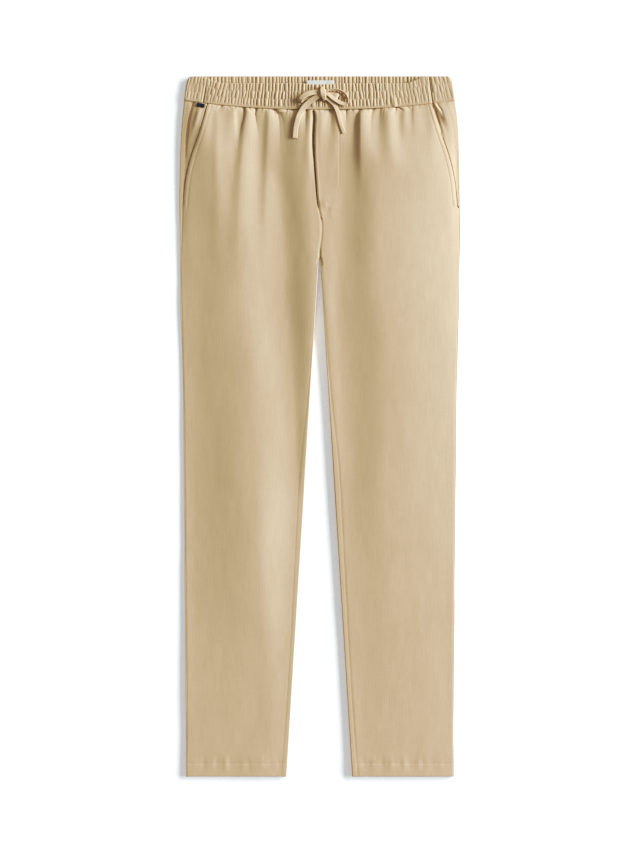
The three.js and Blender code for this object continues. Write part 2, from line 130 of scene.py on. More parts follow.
# The broad relief of each front, as places across the leg and their heights: the crown of the leg, the
# hollow between it and the inseam or fly, and the ridge beside that. The right one ends with the height
# at its outer edge.
RELIEF_KEYS = ("y", "crown_x", "crown", "hollow_x", "hollow", "ridge_x", "ridge", "edge")
RIGHT_RELIEF_ROWS = [
    (484, 182, 1.5, 100, -0.1, 26, 2.6, 0.0),
    (457, 172, 2.2, 98, 0.2, 21, 3.2, -0.1),
    (434, 164, 2.6, 95, 0.3, 17, 3.9, -0.2),
    (410, 158, 2.5, 88, 0.2, 17, 3.9, -0.3),
    (387, 154, 2.4, 75, 0.1, 17, 3.9, -0.4),
    (354, 148, 2.4, 66, 0.3, 15, 3.9, -0.5),
    (308, 130, 2.8, 61, 0.6, 11, 4.1, -0.7),
    (198, 127, 3.0, 56, 0.7, 8, 4.3, -0.9),
    (119, 114, 3.5, 49, 1.1, 11, 3.6, -0.9),
    (41, 108, 3.8, 42, 1.4, 16, 2.8, -0.9),
    (-37, 102, 4.0, 38, 1.2, 21, 2.0, -0.9),
    (-116, 100, 3.9, 33, -0.4, 29, -0.4, -0.9),
    (-194, 98, 3.5, 36, -0.2, 32, -0.2, -0.8),
    (-273, 95, 2.9, 40, 0.2, 36, 0.2, -0.6),
    (-351, 86, 1.6, 44, 0.4, 40, 0.4, -0.4),
    (-461, 80, 0.5, 50, 0.2, 46, 0.2, -0.2),
]
LEFT_RELIEF_ROWS = [
    (484, 70, 4.2, 16, 2.4, 4, 2.4),
    (457, 78, 4.9, 18, 2.8, 4, 2.6),
    (434, 84, 5.9, 26, 3.1, 4, 2.7),
    (410, 96, 6.4, 30, 3.1, 4, 2.7),
    (387, 97, 6.6, 32, 3.1, 4, 2.7),
    (354, 95, 6.8, 33, 3.2, 5, 3.5),
    (308, 93, 7.0, 32, 3.3, 9, 3.6),
    (198, 99, 6.3, 28, 3.3, 12, 3.7),
    (119, 109, 4.7, 33, 1.4, 17, 1.7),
    (41, 111, 3.9, 37, 0.8, 22, 1.0),
    (-37, 106, 3.4, 41, 0.8, 27, 1.0),
    (-116, 104, 2.9, 42, 1.0, 31, 1.0),
    (-194, 111, 2.1, 46, 0.7, 36, 0.7),
    (-273, 118, 1.6, 50, 0.6, 40, 0.6),
    (-351, 130, 1.1, 55, 0.4, 45, 0.4),
    (-461, 140, 0.6, 60, 0.3, 50, 0.3),
]
RIGHT_RELIEF = table(RELIEF_KEYS, RIGHT_RELIEF_ROWS)
LEFT_RELIEF = table(RELIEF_KEYS, LEFT_RELIEF_ROWS)

# The tables' heights are of the cloth's shape alone, and this is how much of it shows.
RELIEF = 1.5

# Folds of the front that run down from the waist seam along a crest through three places, the last at
# y_low. left and right are how far the two flanks spread, lift is the height, and fade the length over
# which a fold dies out.
FOLD_KEYS = ("x_top", "x_mid", "x_low", "y_low", "left", "right", "lift", "fade")
FOLDS = [
    (-176, -182, -196, 400, 12, 9, 0.9, 70),
    (-162, -160, -160, 190, 8, 9, 0.5, 200),
    (-136, -134, -132, 420, 14, 5, 1.0, 60),
    (-113, -124, -122, 180, 11, 20, 2.4, 280),
    (-78, -83, -82, 180, 9, 16, 1.8, 280),
    (-31, -34, -38, 380, 13, 13, 1.7, 90),
    (-14, -17, -15, 360, 8, 5, 1.7, 100),
    (3, 2, 0, 400, 9, 9, 0.9, 80),
    (27, 27, 26, 400, 8, 13, 1.6, 90),
    (66, 66, 71, 345, 8, 24, 3.2, 120),
    (108, 110, 118, 370, 14, 15, 2.6, 90),
    (132, 133, 135, 430, 6, 10, 1.2, 60),
    (148, 149, 152, 435, 5, 12, 0.9, 60),
    (170, 171, 176, 290, 48, 36, 2.2, 150),
    (176, 178, 182, 400, 10, 14, 0.8, 70),
]

# Sharp creases that start in the waist seam: places along it as (x, distance below the seam), its depth
# and width at the top, and how far it reaches.
CREASES = [
    ([(-201, 0), (-202, 10)], 0.8, 1.6, 7),
    ([(-185, 0), (-187, 12)], 1.1, 1.6, 8),
    ([(-152, 0), (-157, 7)], 1.5, 1.3, 7),
    ([(-141, 0), (-138, 6)], 0.8, 1.2, 5),
    ([(-131, 0), (-134, 6)], 0.8, 1.2, 5),
    ([(-118.2, 0), (-117.5, 8), (-119, 18), (-122.5, 29), (-125, 42), (-127, 70)], 3.4, 1.5, 42),
    ([(-109.9, 0), (-106.5, 5), (-105, 8)], 1.5, 1.2, 6),
    ([(-98.6, 0), (-100.5, 9), (-98.1, 25), (-95, 41)], 3.2, 1.6, 30),
    ([(-89.2, 0), (-90.8, 6)], 1.2, 1.2, 6),
    ([(-80, 0), (-78, 6)], 0.8, 1.1, 5),
    ([(-70.7, 0), (-69.1, 14)], 2.2, 1.3, 9),
    ([(-69.5, 0), (-64, 9), (-62, 22), (-61, 50), (-59, 80)], 2.7, 2.4, 45),
    ([(-61, 6), (-57, 18), (-54, 45), (-52, 80)], 2.0, 3.4, 45),
    ([(-49.5, 0), (-51.5, 6)], 1.1, 1.2, 6),
    ([(-40.8, 0), (-39.5, 8), (-38, 25), (-36.5, 45), (-36, 70)], 2.1, 1.7, 42),
    ([(-32, 0), (-30, 7)], 1.0, 1.3, 6),
    ([(-19.6, 0), (-21.5, 16), (-21, 34)], 3.0, 2.6, 30),
    ([(-1.5, 0), (0.5, 8)], 0.7, 1.3, 6),
    ([(9, 0), (7.5, 8)], 0.8, 1.3, 6),
    ([(19, 0), (18.5, 10), (18.5, 30)], 2.2, 3.0, 24),
    ([(34, 0), (35, 6)], 0.9, 1.2, 5),
    ([(42.4, 0), (42.4, 11), (43, 25)], 2.8, 2.4, 20),
    ([(53, 0), (50, 6)], 1.0, 1.2, 5),
    ([(65.2, 0), (59, 9), (55.7, 22), (54.2, 40), (53, 60)], 3.1, 2.2, 40),
    ([(75, 0), (76.5, 5)], 0.8, 1.1, 4),
    ([(85.6, 0), (82.6, 8), (81, 24)], 2.7, 2.8, 30),
    ([(97, 0), (95, 12), (93.5, 30)], 2.0, 3.0, 28),
    ([(108, 0), (110, 5)], 0.8, 1.1, 4),
    ([(121, -3), (119.5, 8), (117, 14)], 2.2, 1.2, 8),
    ([(122.5, 0), (130.5, 5.5), (132, 9)], 2.0, 1.1, 7),
    ([(137.5, 0), (141, 3), (142, 7)], 1.1, 1.1, 5),
    ([(146, 0), (145, 12)], 0.9, 1.4, 9),
    ([(157, 0), (156, 5)], 0.8, 1.1, 4),
    ([(165, 0), (163, 6)], 0.8, 1.2, 5),
]

# The waistband: its outline from the top edge down to the seam, and its rows of stitching as shares of
# its height. It dips in the middle of the front.
BAND_SEAM_Y = 512
BAND_DIP = 14.7
BAND_HALF = 212.7
BAND_JOIN = 171
BAND_FACE = 5.4
BAND_WALL = 1.6
BAND_ROLL_DEPTH = 2.4
BAND_EDGE_Y = [550, 548.6, 546, 541, 534, BAND_SEAM_Y]
BAND_EDGE_X = [199.5, 203.4, 206.2, 208.2, 209.6, BAND_HALF]
BAND_ROWS = (0.0, 0.385, 0.69, 1.0)
# The front band's top edge in the middle, and where it rises to the back's, out from the middle.
BAND_FRONT_TOP_Y = 538.3
BAND_RISE_RIGHT, BAND_RISE_LEFT, BAND_RISE_LENGTH = 150, 130, 42
# The buttonholes: their slots, and the width of the stitched edge on both sides of each.
BUTTONHOLE_X = (-25.5, 29.5)
BUTTONHOLE_Y = 517.5
BUTTONHOLE_HALF = 5.5
BUTTONHOLE_EDGE = 1.3

# Rows of the fronts and facings bend up at the sides, as the waist seam does, between these two.
BEND_LOW_Y, BEND_HIGH_Y = 378, 498
# Columns of a front's mesh, and the fine steps beside its edges, which reach further in at the fly.
FRONT_COLUMNS = 294
FINE_STEP, FINE_EDGE, FINE_FLY = 0.8, 12, 40
# A front's inner side keeps one row and column in this many.
LINING_STEP = 3
# Cells across the side of a back panel that lies on the surface.
FLOOR_CELLS = 84
# How far out to each side the gathers go, and how high stitches lie on the cloth.
REACH = 230
STITCH_LIFT = 0.12


# ------------ curves and noise
def follow(y, ys, values):
    """A smooth curve through values at ys, which run down, at y."""
    ys, values = np.asarray(ys, float)[::-1], np.asarray(values, float)[::-1]
    slopes = np.gradient(values, ys)
    y = np.clip(y, ys[0], ys[-1])
    i = np.clip(np.searchsorted(ys, y) - 1, 0, len(ys) - 2)
    span = ys[i + 1] - ys[i]
    t = (y - ys[i]) / span
    return (
        values[i] * (1 + 2 * t) * (1 - t) ** 2
        + values[i + 1] * t * t * (3 - 2 * t)
        + span * slopes[i] * t * (1 - t) ** 2
        - span * slopes[i + 1] * t * t * (1 - t)
    )


def columns_at(y, columns):
    """Every column of a table at y."""
    return {key: follow(y, columns["y"], values) for key, values in columns.items()}


def outline(key, y):
    return follow(y, OUTLINE["y"], OUTLINE[key])


def ease(value, low, high):
    """From 0 at low to 1 at high, level at both."""
    t = np.clip((value - low) / (high - low), 0, 1)
    return t * t * (3 - 2 * t)


def climb(place, start, end):
    """The same along a cosine."""
    return 0.5 - 0.5 * np.cos(np.pi * np.clip((place - start) / (end - start), 0, 1))


def bump(distance, reach):
    """1 at no distance, and next to nothing at twice the reach."""
    return np.exp(-((distance / reach) ** 2))


def fade(distance, reach):
    """1 at no distance, and about a third at the reach."""
    return np.exp(-distance / reach)


def noise(x, y, pitch_x, pitch_y, seed):
    """Smooth noise from -1 to 1 on a lattice of that pitch."""
    size, middle = 97, 400
    lattice = np.random.default_rng(seed).uniform(-1, 1, (size, size))
    u, v = np.asarray(x) / pitch_x + middle, np.asarray(y) / pitch_y + middle
    i, j = np.floor(u).astype(int), np.floor(v).astype(int)
    s, t = ease(u - i, 0, 1), ease(v - j, 0, 1)

    def row(j):
        return lattice[i % size, j % size] * (1 - s) + lattice[(i + 1) % size, j % size] * s

    return row(j) * (1 - t) + row(j + 1) * t


def distances(points):
    """How far along its run each point is."""
    steps = np.linalg.norm(np.diff(points, axis=-2), axis=-1)
    return np.concatenate([np.zeros(steps.shape[:-1] + (1,)), np.cumsum(steps, -1)], -1)


def unit(vector):
    return vector / np.linalg.norm(vector, axis=-1, keepdims=True)


class Pleats:
    """Rounded ridges side by side, with sharp creases between them, at uneven places."""

    def __init__(self, seed, pitch, spread, reach, least=0.4):
        rng = np.random.default_rng(seed)
        count = int(2 * reach / pitch * 1.3) + 4
        self.edges = -reach + np.cumsum(pitch * rng.uniform(1 - spread, 1 + spread, count))
        self.heights = rng.uniform(least, 1.1, count + 1)

    def height(self, x, power):
        i = np.clip(np.searchsorted(self.edges, x), 1, len(self.edges) - 1)
        share = (x - self.edges[i - 1]) / (self.edges[i] - self.edges[i - 1])
        return self.heights[i] * np.sin(np.pi * np.clip(share, 0, 1)) ** power

    def lengths(self, x, least, most):
        """A length for each ridge, blended where ridges meet."""
        lengths = least + (most - least) * self.heights**2
        between = (self.edges[1:] + self.edges[:-1]) / 2
        centres = np.concatenate([self.edges[:1], between, self.edges[-1:]])
        return np.interp(x, centres, lengths)


# ------------ the front face
def outer_edge(y):
    return outline("outer", y)


def inner_edge(y):
    """Half the gap between the legs, which starts as a point."""
    below = CROTCH_Y - y
    return CROTCH_HALF_GAP * (0.3 + 0.7 * ease(below, 0, 9)) + INNER_TAPER * np.maximum(0, below)


def side_seam(y, side):
    """Where the back panel that rolls over the outer edge meets the front."""
    return outer_edge(y) - outline("left_seam" if side > 0 else "right_seam", y)


def inseam(y):
    """Where the back panel that rolls over the inner edge meets the front."""
    rolled = outline("inseam", y) * (0.4 + 0.6 * ease(CROTCH_Y - y, 0, 12))
    return np.where(y > LEGS_TOP_Y, 0, inner_edge(y) + rolled)


def pocket_edge(y):
    return follow(y, POCKET_Y, POCKET_X)


def waist_seam(x):
    return BAND_SEAM_Y - BAND_DIP * (1 - np.minimum(np.abs(x) / BAND_HALF, 1) ** 2.3)


def band_top(x):
    """The front band's top edge, which dips below the back band's."""
    start = np.where(x < 0, BAND_RISE_RIGHT, BAND_RISE_LEFT)
    rise = ease((np.abs(x) - start) / BAND_RISE_LENGTH, 0, 1)
    dip = 1.6 * ease(26 - np.abs(x - 1), 0, 8)
    return BAND_FRONT_TOP_Y - dip + (TOP_Y - 0.6 - BAND_FRONT_TOP_Y) * rise


def bent(ys, x):
    """Rows at ys, bent up at the sides as the waist seam is."""
    ys = ys[:, None]
    return ys + (waist_seam(x) - waist_seam(0.0)) * ease(ys, BEND_LOW_Y, BEND_HIGH_Y)


def bent_end(ys):
    """The same at the outer edge."""
    return ys + BAND_DIP * ease(ys, BEND_LOW_Y, BEND_HIGH_Y)


def fly_slit(y):
    """The two edges of the fly's slit, which gapes most at its top, and of the centre seam below it."""
    middle = follow(y, SLIT_Y, SLIT_X)
    t = np.clip((FLY_TOP_Y - y) / (FLY_TOP_Y - FLY_END_Y), 0, 1)
    open_width = 3.8 - 1.4 * ease(y, 440, 412) - 0.8 * ease(y, 400, 345)
    half = (GAP + open_width * ease(t, 0.0, 0.03) * (1 - ease(t, 0.95, 1))) / 2
    return middle - half, middle + half


def relief(x, y):
    """The crowns and hollows of the legs."""
    side = np.abs(x)
    edge = outer_edge(y) - ROLL_DEPTH
    right, left = columns_at(y, RIGHT_RELIEF), columns_at(y, LEFT_RELIEF)
    z_right = right["edge"] + (right["crown"] - right["edge"]) * climb(side, edge, right["crown_x"])
    past_crown = np.clip((side - left["crown_x"]) / (edge - left["crown_x"]), 0, 1)
    z_left = left["crown"] * (1 - past_crown**2)
    middle = np.mean(fly_slit(np.maximum(y, CROTCH_Y)), axis=0)
    blend = 0.8 + 3 * ease(y, FLY_END_Y + 8, FLY_END_Y - 20)
    total = 0
    for z, leg, sign in ((z_right, right, -1), (z_left, left, 1)):
        z = z + (leg["hollow"] - leg["crown"]) * climb(side, leg["crown_x"], leg["hollow_x"])
        z = z + (leg["ridge"] - leg["hollow"]) * climb(side, leg["hollow_x"], leg["ridge_x"])
        total = total + z * ease((x - middle) * sign / blend, -1, 1)
    return RELIEF * total


def fold_height(x, y, fold):
    f = dict(zip(FOLD_KEYS, fold))
    top = waist_seam(f["x_top"])
    t = np.clip((top - y) / (top - f["y_low"]), 0, 1)
    crest = f["x_top"] * (1 - t) * (1 - 2 * t) + f["x_mid"] * 4 * t * (1 - t) + f["x_low"] * t * (2 * t - 1)
    spread = np.where(x < crest, f["left"], f["right"]) * (0.7 + 0.7 * t)
    return f["lift"] * ease(y - f["y_low"], 0, f["fade"]) * bump(x - crest, spread)


def crease_depth(x, y, crease):
    """A groove, steeper on its right, with a deeper dot where it enters the seam."""
    path, depth, width, reach = crease
    places, drops = np.array(path, float).T
    drop = waist_seam(places[0]) - y
    below = np.maximum(drop, 0)
    centre = np.interp(drop, drops, places) - 0.8
    blur = width * (1 + below / 16)
    sharp = fade(np.abs(x - centre), np.where(x < centre, 2.8 * blur, 1.2 * blur))
    dot = 1 + 0.7 * fade(below, 2.5)
    length = fade((below / reach) ** 1.5, 1) * ease(drop, drops[0] - 1.5, drops[0] + 0.5)
    return 0.8 * depth * sharp * dot * length


PUCKERS = Pleats(11, 8.5, 0.5, REACH, 0.15)


def puckers(x, y):
    """Small scallops where the front is gathered into the waist seam."""
    below = np.maximum(waist_seam(x) - y, 0)
    swell = 0.8 * (1 - fade(below, 1.2))
    return swell * PUCKERS.height(x + 0.15 * below, 0.6) * fade(below, PUCKERS.lengths(x, 2.5, 8))


def face(x, y):
    """The height of the front face."""
    x, y = np.broadcast_arrays(np.asarray(x, float), np.asarray(y, float))
    side = np.abs(x)
    below = np.maximum(waist_seam(x) - y, 0)
    body = outline("body", y)
    to_outer = outer_edge(y) - ROLL_DEPTH - side
    to_inner = side - inner_edge(y) - INNER_ROLL_DEPTH
    legs = 1 - ease(y, CROTCH_Y - 16, CROTCH_Y + 4)
    near_inner = 1 - legs * 0.08 * (1 - np.clip(0.3 + to_inner / 1.5, 0, 1) ** 0.6)
    room = ease(to_outer, 0, 14) * near_inner
    z = body + (outline("outer_roll", y) - body) * bump(np.maximum(to_outer, 0), 10)
    z = z + relief(x, y) * near_inner * (1 - fade(below, 13))
    z = z + sum(fold_height(x, y, fold) for fold in FOLDS) * room * (1 - fade(below, 4))
    z = z + puckers(x, y) * room
    z = z - sum(crease_depth(x, y, crease) for crease in CREASES) * room
    z = z - 0.2 * fade(below, 1.2)
    z = z + 0.2 * noise(x, y, 34, 90, 1) + 0.07 * noise(x, y, 11, 26, 2)
    return np.maximum(z, LEAST_FACE)


# ------------ meshes
def laid(points):
    """The wearer's left side was laid a little further out than the right."""
    points = points.copy()
    further = 0.6 + 0.9 * ease(BAND_SEAM_Y - points[:, 1], 0, 40)
    points[:, 0] += further * ease(points[:, 0], 50, 210)
    return points


def placed(name, data):
    """A new object in the scene."""
    obj = bpy.data.objects.new(name, data)
    bpy.context.scene.collection.objects.link(obj)
    return obj


def piece(name, vertices, faces, finish, weave, nodes=None, sharp=50):
    """A mesh object from millimetres, on the one body. Its name is that of the CAD node that it replaces
    and what it is made of, unless nodes says what it replaces."""
    material, slot = finish
    mesh = bpy.data.meshes.new(name)
    points = laid(np.asarray(vertices, float)) * MM
    mesh.from_pydata(points.tolist(), [], faces)
    mesh.polygons.foreach_set("use_smooth", np.ones(len(mesh.polygons), bool))
    if weave is not None:
        attribute = mesh.attributes.new("weave", "FLOAT_VECTOR", "POINT")
        attribute.data.foreach_set("vector", (np.asarray(weave, np.float32) * MM).ravel())
    mesh.materials.append(material)
    mesh.update()
    mesh.set_sharp_from_angle(angle=math.radians(sharp))
    obj = placed(name, mesh)
    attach(obj, "root")
    nodes = [name.rsplit("_", 1)[0]] if nodes is None else nodes
    if nodes:
        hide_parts(*nodes)
    return obj


def grid(x, y, z):
    return np.stack(np.broadcast_arrays(x, y, z), -1)


def as_list(points):
    return points.reshape(-1, 3)


def flat_weave(points):
    """The cloth's own coordinates where it lies as it was cut."""
    return points * np.array([1, 1, 0])


def corners(ids):
    """The four corners of each cell of a grid."""
    return np.stack([ids[:-1, :-1], ids[:-1, 1:], ids[1:, 1:], ids[1:, :-1]], -1)


def as_quads(ids, turned=False):
    quads = corners(ids).reshape(-1, 4)
    return (quads[:, ::-1] if turned else quads).tolist()


def volume(points, faces):
    p = points[faces]
    first = np.einsum("ij,ij->i", p[:, 0], np.cross(p[:, 1], p[:, 2]))
    second = np.einsum("ij,ij->i", p[:, 0], np.cross(p[:, 2], p[:, 3]))
    return (first + second).sum()


def sheet_piece(name, outer, inner, finish, keep=None, weave=None):
    """A closed sheet between two grids of points, (rows, columns, 3). keep marks its cells."""
    rows, columns = outer.shape[:2]
    keep = np.ones((rows - 1, columns - 1), bool) if keep is None else keep
    ids = np.arange(rows * columns).reshape(rows, columns)
    top, bottom = corners(ids), corners(ids + rows * columns)
    quads = [top[keep], bottom[keep][:, ::-1]]
    padded = np.pad(keep, 1)
    neighbours = [padded[:-2, 1:-1], padded[1:-1, 2:], padded[2:, 1:-1], padded[1:-1, :-2]]
    for i, neighbour in enumerate(neighbours):
        edge = keep & ~neighbour
        a, b = i, (i + 1) % 4
        high, low = top[edge], bottom[edge]
        quads.append(np.stack([high[:, b], high[:, a], low[:, a], low[:, b]], -1))
    faces = np.concatenate(quads)
    points = np.concatenate([as_list(outer), as_list(inner)])
    if volume(points, faces) < 0:
        faces = faces[:, ::-1]
    used, faces = np.unique(faces, return_inverse=True)
    weave = as_list(flat_weave(outer) if weave is None else weave)
    weave = np.concatenate([weave, weave])[used]
    return piece(name, points[used], faces.reshape(-1, 4).tolist(), finish, weave)


def around(ids):
    """A grid's border, back to its start."""
    border = np.concatenate([ids[0, :-1], ids[:-1, -1], ids[-1, :0:-1], ids[:0:-1, 0]])
    return [*border.tolist(), int(border[0])]


def lined_piece(name, top, bottom, finish, weave=None):
    """The same for a whole grid, with a bottom of fewer rows and columns."""
    step = LINING_STEP
    bottom = bottom[::step, ::step]
    ids = np.arange(top[..., 0].size).reshape(top.shape[:2])
    under = ids.size + np.arange(bottom[..., 0].size).reshape(bottom.shape[:2])
    faces = as_quads(ids) + as_quads(under, turned=True)
    upper, lower = around(ids), around(under)
    for i in range(len(lower) - 1):
        faces.append(upper[i * step:(i + 1) * step + 1][::-1] + lower[i:i + 2])
    if np.cross(top[0, 1] - top[0, 0], top[1, 0] - top[0, 0])[2] < 0:
        faces = [face[::-1] for face in faces]
    weave = flat_weave(top) if weave is None else weave
    weave = np.concatenate([as_list(weave), as_list(weave[::step, ::step])])
    return piece(name, np.concatenate([as_list(top), as_list(bottom)]), faces, finish, weave)


def evened(values):
    """The same places with a few more in between, so that a lining's rows meet the end."""
    values = list(values)
    while (len(values) - 1) % LINING_STEP:
        i = int(np.argmax(np.abs(np.diff(values))))
        values.insert(i + 1, (values[i] + values[i + 1]) / 2)
    return np.array(values)


def tube_faces(rings, sides, base=0):
    """The quads along a run of rings of points, and its two ends."""
    faces = []
    for i in range(rings - 1):
        a, b = base + i * sides, base + (i + 1) * sides
        for j in range(sides):
            k = (j + 1) % sides
            faces.append((a + j, a + k, b + k, b + j))
    last = base + (rings - 1) * sides
    return [*faces, tuple(range(base, base + sides))[::-1], tuple(range(last, last + sides))]


# ------------ materials
BUMP_DEPTH = 0.0002
SAND = (0.600, 0.450, 0.288)


class Nodes:
    """A short way to write a node tree."""

    def __init__(self, name):
        self.material = bpy.data.materials.new(name)
        self.material.use_nodes = True
        self.tree = self.material.node_tree
        self.inputs = self.tree.nodes["Principled BSDF"].inputs

    def add(self, kind, settings=None, **inputs):
        node = self.tree.nodes.new(kind)
        for key, value in (settings or {}).items():
            setattr(node, key, value)
        for key, value in inputs.items():
            self.put(node.inputs[key], value)
        return node

    def shade(self, **values):
        """Set the shader's sockets, named with _ for a space."""
        for key, value in values.items():
            self.put(self.inputs[key.replace("_", " ")], value)

    def put(self, socket, value):
        if isinstance(value, bpy.types.NodeSocket):
            self.tree.links.new(value, socket)
        else:
            socket.default_value = value

    def math(self, operation, a, b):
        node = self.add("ShaderNodeMath", {"operation": operation})
        self.put(node.inputs[0], a)
        self.put(node.inputs[1], b)
        return node.outputs[0]

    def mix(self, *parts):
        """The sum of (value, share) parts."""
        shares = [self.math("MULTIPLY", value, share) for value, share in parts]
        total = shares[0]
        for value in shares[1:]:
            total = self.math("ADD", total, value)
        return total

    def place(self):
        return self.add("ShaderNodeTexCoord").outputs["Object"]

    def spots(self, place, scale, detail, dimensions="3D"):
        settings = {"noise_dimensions": dimensions}
        return self.add("ShaderNodeTexNoise", settings, Vector=place, Scale=scale, Detail=detail).outputs[0]

    def streaks(self, weave, across, along, detail=2.0):
        """Noise whose spots are 1/across wide and 1/along long, in metres of cloth."""
        mapping = self.add("ShaderNodeMapping", Vector=weave, Scale=(across, along, 1))
        return self.spots(mapping.outputs[0], 1.0, detail, "2D")

    def bands(self, place, direction, scale, distortion=0.0):
        settings = {"wave_type": "BANDS", "bands_direction": direction}
        wave = self.add("ShaderNodeTexWave", settings, Vector=place, Scale=scale, Distortion=distortion)
        return wave.outputs["Fac"]

    def dye(self, value, low, high, dark, light, middle=None):
        """The colour, from dark where the value is low to light where it is high."""
        ramp = self.add("ShaderNodeValToRGB", Fac=value)
        stops = ramp.color_ramp.elements
        for stop, position, colour in ((stops[0], low, dark), (stops[1], high, light)):
            stop.position, stop.color = position, (*colour, 1)
        if middle is not None:
            stops.new((low + high) / 2).color = (*middle, 1)
        self.shade(Base_Color=ramp.outputs[0])

    def surface(self, height, strength, roughness):
        relief = self.add("ShaderNodeBump", Height=height, Strength=strength, Distance=BUMP_DEPTH)
        self.shade(Normal=relief.outputs[0], Roughness=roughness)


def scaled(colour, share):
    return tuple(min(1.0, c * share) for c in colour)


def cloth_material(name, colour, dark, light, slub=1.0):
    """Cotton and linen twill: a fine diagonal weave, upright slubs and a little unevenness in the dye.
    colour, dark and light are shares of the sand colour, and slub is how uneven its yarn is."""
    n = Nodes(name)
    weave = n.add("ShaderNodeAttribute", {"attribute_name": "weave"}).outputs["Vector"]
    fine = n.streaks(weave, 1500, 70)
    slubs = n.streaks(weave, 520, 26)
    wefts = n.streaks(weave, 60, 900)
    cloudy = n.streaks(weave, 24, 14, 3.0)
    uneven = n.mix((fine, 0.42 * slub), (slubs, 0.36 * slub), (wefts, 0.22 * slub), (cloudy, 0.25))
    middle = 0.5 * (slub + 0.25)
    n.dye(uneven, middle - 0.2, middle + 0.2, scaled(SAND, dark), scaled(SAND, light), scaled(SAND, colour))
    twill = n.bands(weave, "DIAGONAL", 640.0, 0.6)
    n.surface(n.mix((twill, 0.35), (fine, 0.8), (slubs, 0.6)), 0.35, 0.9)
    n.shade(Specular_IOR_Level=0.12)
    return n.material


def thread_material(name, colour):
    n = Nodes(name)
    spots = n.spots(n.place(), 900.0, 2.0)
    n.dye(spots, 0.3, 0.7, scaled(colour, 0.82), scaled(colour, 1.1))
    n.surface(spots, 0.3, 0.6)
    return n.material


def woven_material(name, colour, roughness):
    """A small plain woven label, with ribs across."""
    n = Nodes(name)
    place = n.place()
    ribs = n.mix((n.bands(place, "Y", 300.0), 0.5), (n.spots(place, 700.0, 3.0), 0.5))
    n.dye(ribs, 0.25, 0.75, scaled(colour, 0.86), scaled(colour, 1.06))
    n.surface(ribs, 0.4, roughness)
    return n.material


# Each finish is a material, and the record's slot that it stands for.
TWILL = (cloth_material("twill", 1.0, 0.94, 1.05), "twill")
# The band is coloured darker than the rest of the twill: painted shade for the shade in its gathers.
BAND = (cloth_material("gathered_twill_painted_shade", 0.95, 0.85, 1.03), "gathered_band")
TAPE = (cloth_material("tape_twill", 1.0, 0.93, 1.11, 0.8), "tape")
THREAD = (thread_material("thread", scaled(SAND, 0.96)), "twill")
LABEL_WEAVE = (woven_material("label_weave", (0.70, 0.66, 0.58), 0.6), "label_weave")
TAB_WEAVE = (woven_material("tab_weave", (0.012, 0.016, 0.035), 0.65), "tab_weave")


# ------------ edges, hems and stitched lines
def round_off(distance, radius):
    """How far a folded edge has turned down at a distance from it."""
    t = np.clip(distance / radius, 0, 1)
    return radius * (1 - np.sqrt(1 - (1 - t) ** 2))


def wall_at(y):
    return CLOTH + (HEM_WALL - CLOTH) * ease(HEM_LINE_Y - y, -1, 1)


def hem_detail(x, y):
    """The stitched hem: a groove at its stitch line, small puckers beside it, and a step in thickness."""
    above = y - HEM_LINE_Y
    step = 0.25 * ease(-above, -3, 3)
    puckered = 0.35 * noise(x, y, 7, 60, 31) * bump(above, 9)
    puckered = puckered + 0.3 * noise(x, y, 18, 60, 32) * bump(above, 16)
    return step - 0.35 * bump(above, 1.2) + puckered


def pocket_detail(x, y):
    """The topstitched edge of the pocket opening."""
    inside = pocket_edge(y) - np.abs(x)
    along = ease(y, POCKET_END_Y - 6, POCKET_END_Y + 4)
    return along * (0.15 * ease(7.2 - inside, 0, 2) - 0.25 * bump(inside - POCKET_STITCH, 1.0))


def fly_stitch_x(y):
    """The J of topstitching that holds the fly: straight down, then in to the slit's foot."""
    t = np.clip((FLY_CURVE_Y - y) / (FLY_CURVE_Y - FLY_FOOT_Y), 0, 1)
    return FLY_STITCH_X - (FLY_STITCH_X - FLY_FOOT_X) * t**1.6


def fly_detail(x, y):
    """The groove of the fly's stitches, its thicker edge beside the slit, and puckers at its foot."""
    line = x - fly_stitch_x(y)
    welt = 0.45 * ease(fly_slit(y)[1] + 5 - x, 0, 4)
    puckered = 0.45 * noise(x + 0.6 * y, y - 0.5 * x, 7, 9, 83) * bump(x - 13, 11) * bump(y - 340, 14)
    return ease(y, 350, 356) * (0.12 * ease(-line, -2, 2) - 0.18 * bump(line, 1.1) + welt) + puckered


# ------------ front panels
def spaced(*runs):
    """Places from high to low: each run is (end, step), and the first gives only the start."""
    values = [runs[0][0]]
    for (start, _), (end, step) in zip(runs, runs[1:]):
        count = max(1, round((start - end) / step))
        values += list(np.linspace(start, end, count + 1)[1:])
    return np.array(values)


def edge_shares(near, width):
    """Distances across a front: fine steps beside both edges, and the rest between."""
    first, last = (np.arange(0, end + 0.01, FINE_STEP) for end in (near, FINE_EDGE))
    between = np.linspace(0, 1, FRONT_COLUMNS + 3 - len(first) - len(last))[1:-1]
    width = width[:, None]
    parts = [first + 0 * width, near + (width - near - FINE_EDGE) * between, width - last[::-1]]
    return np.concatenate(parts, axis=1)


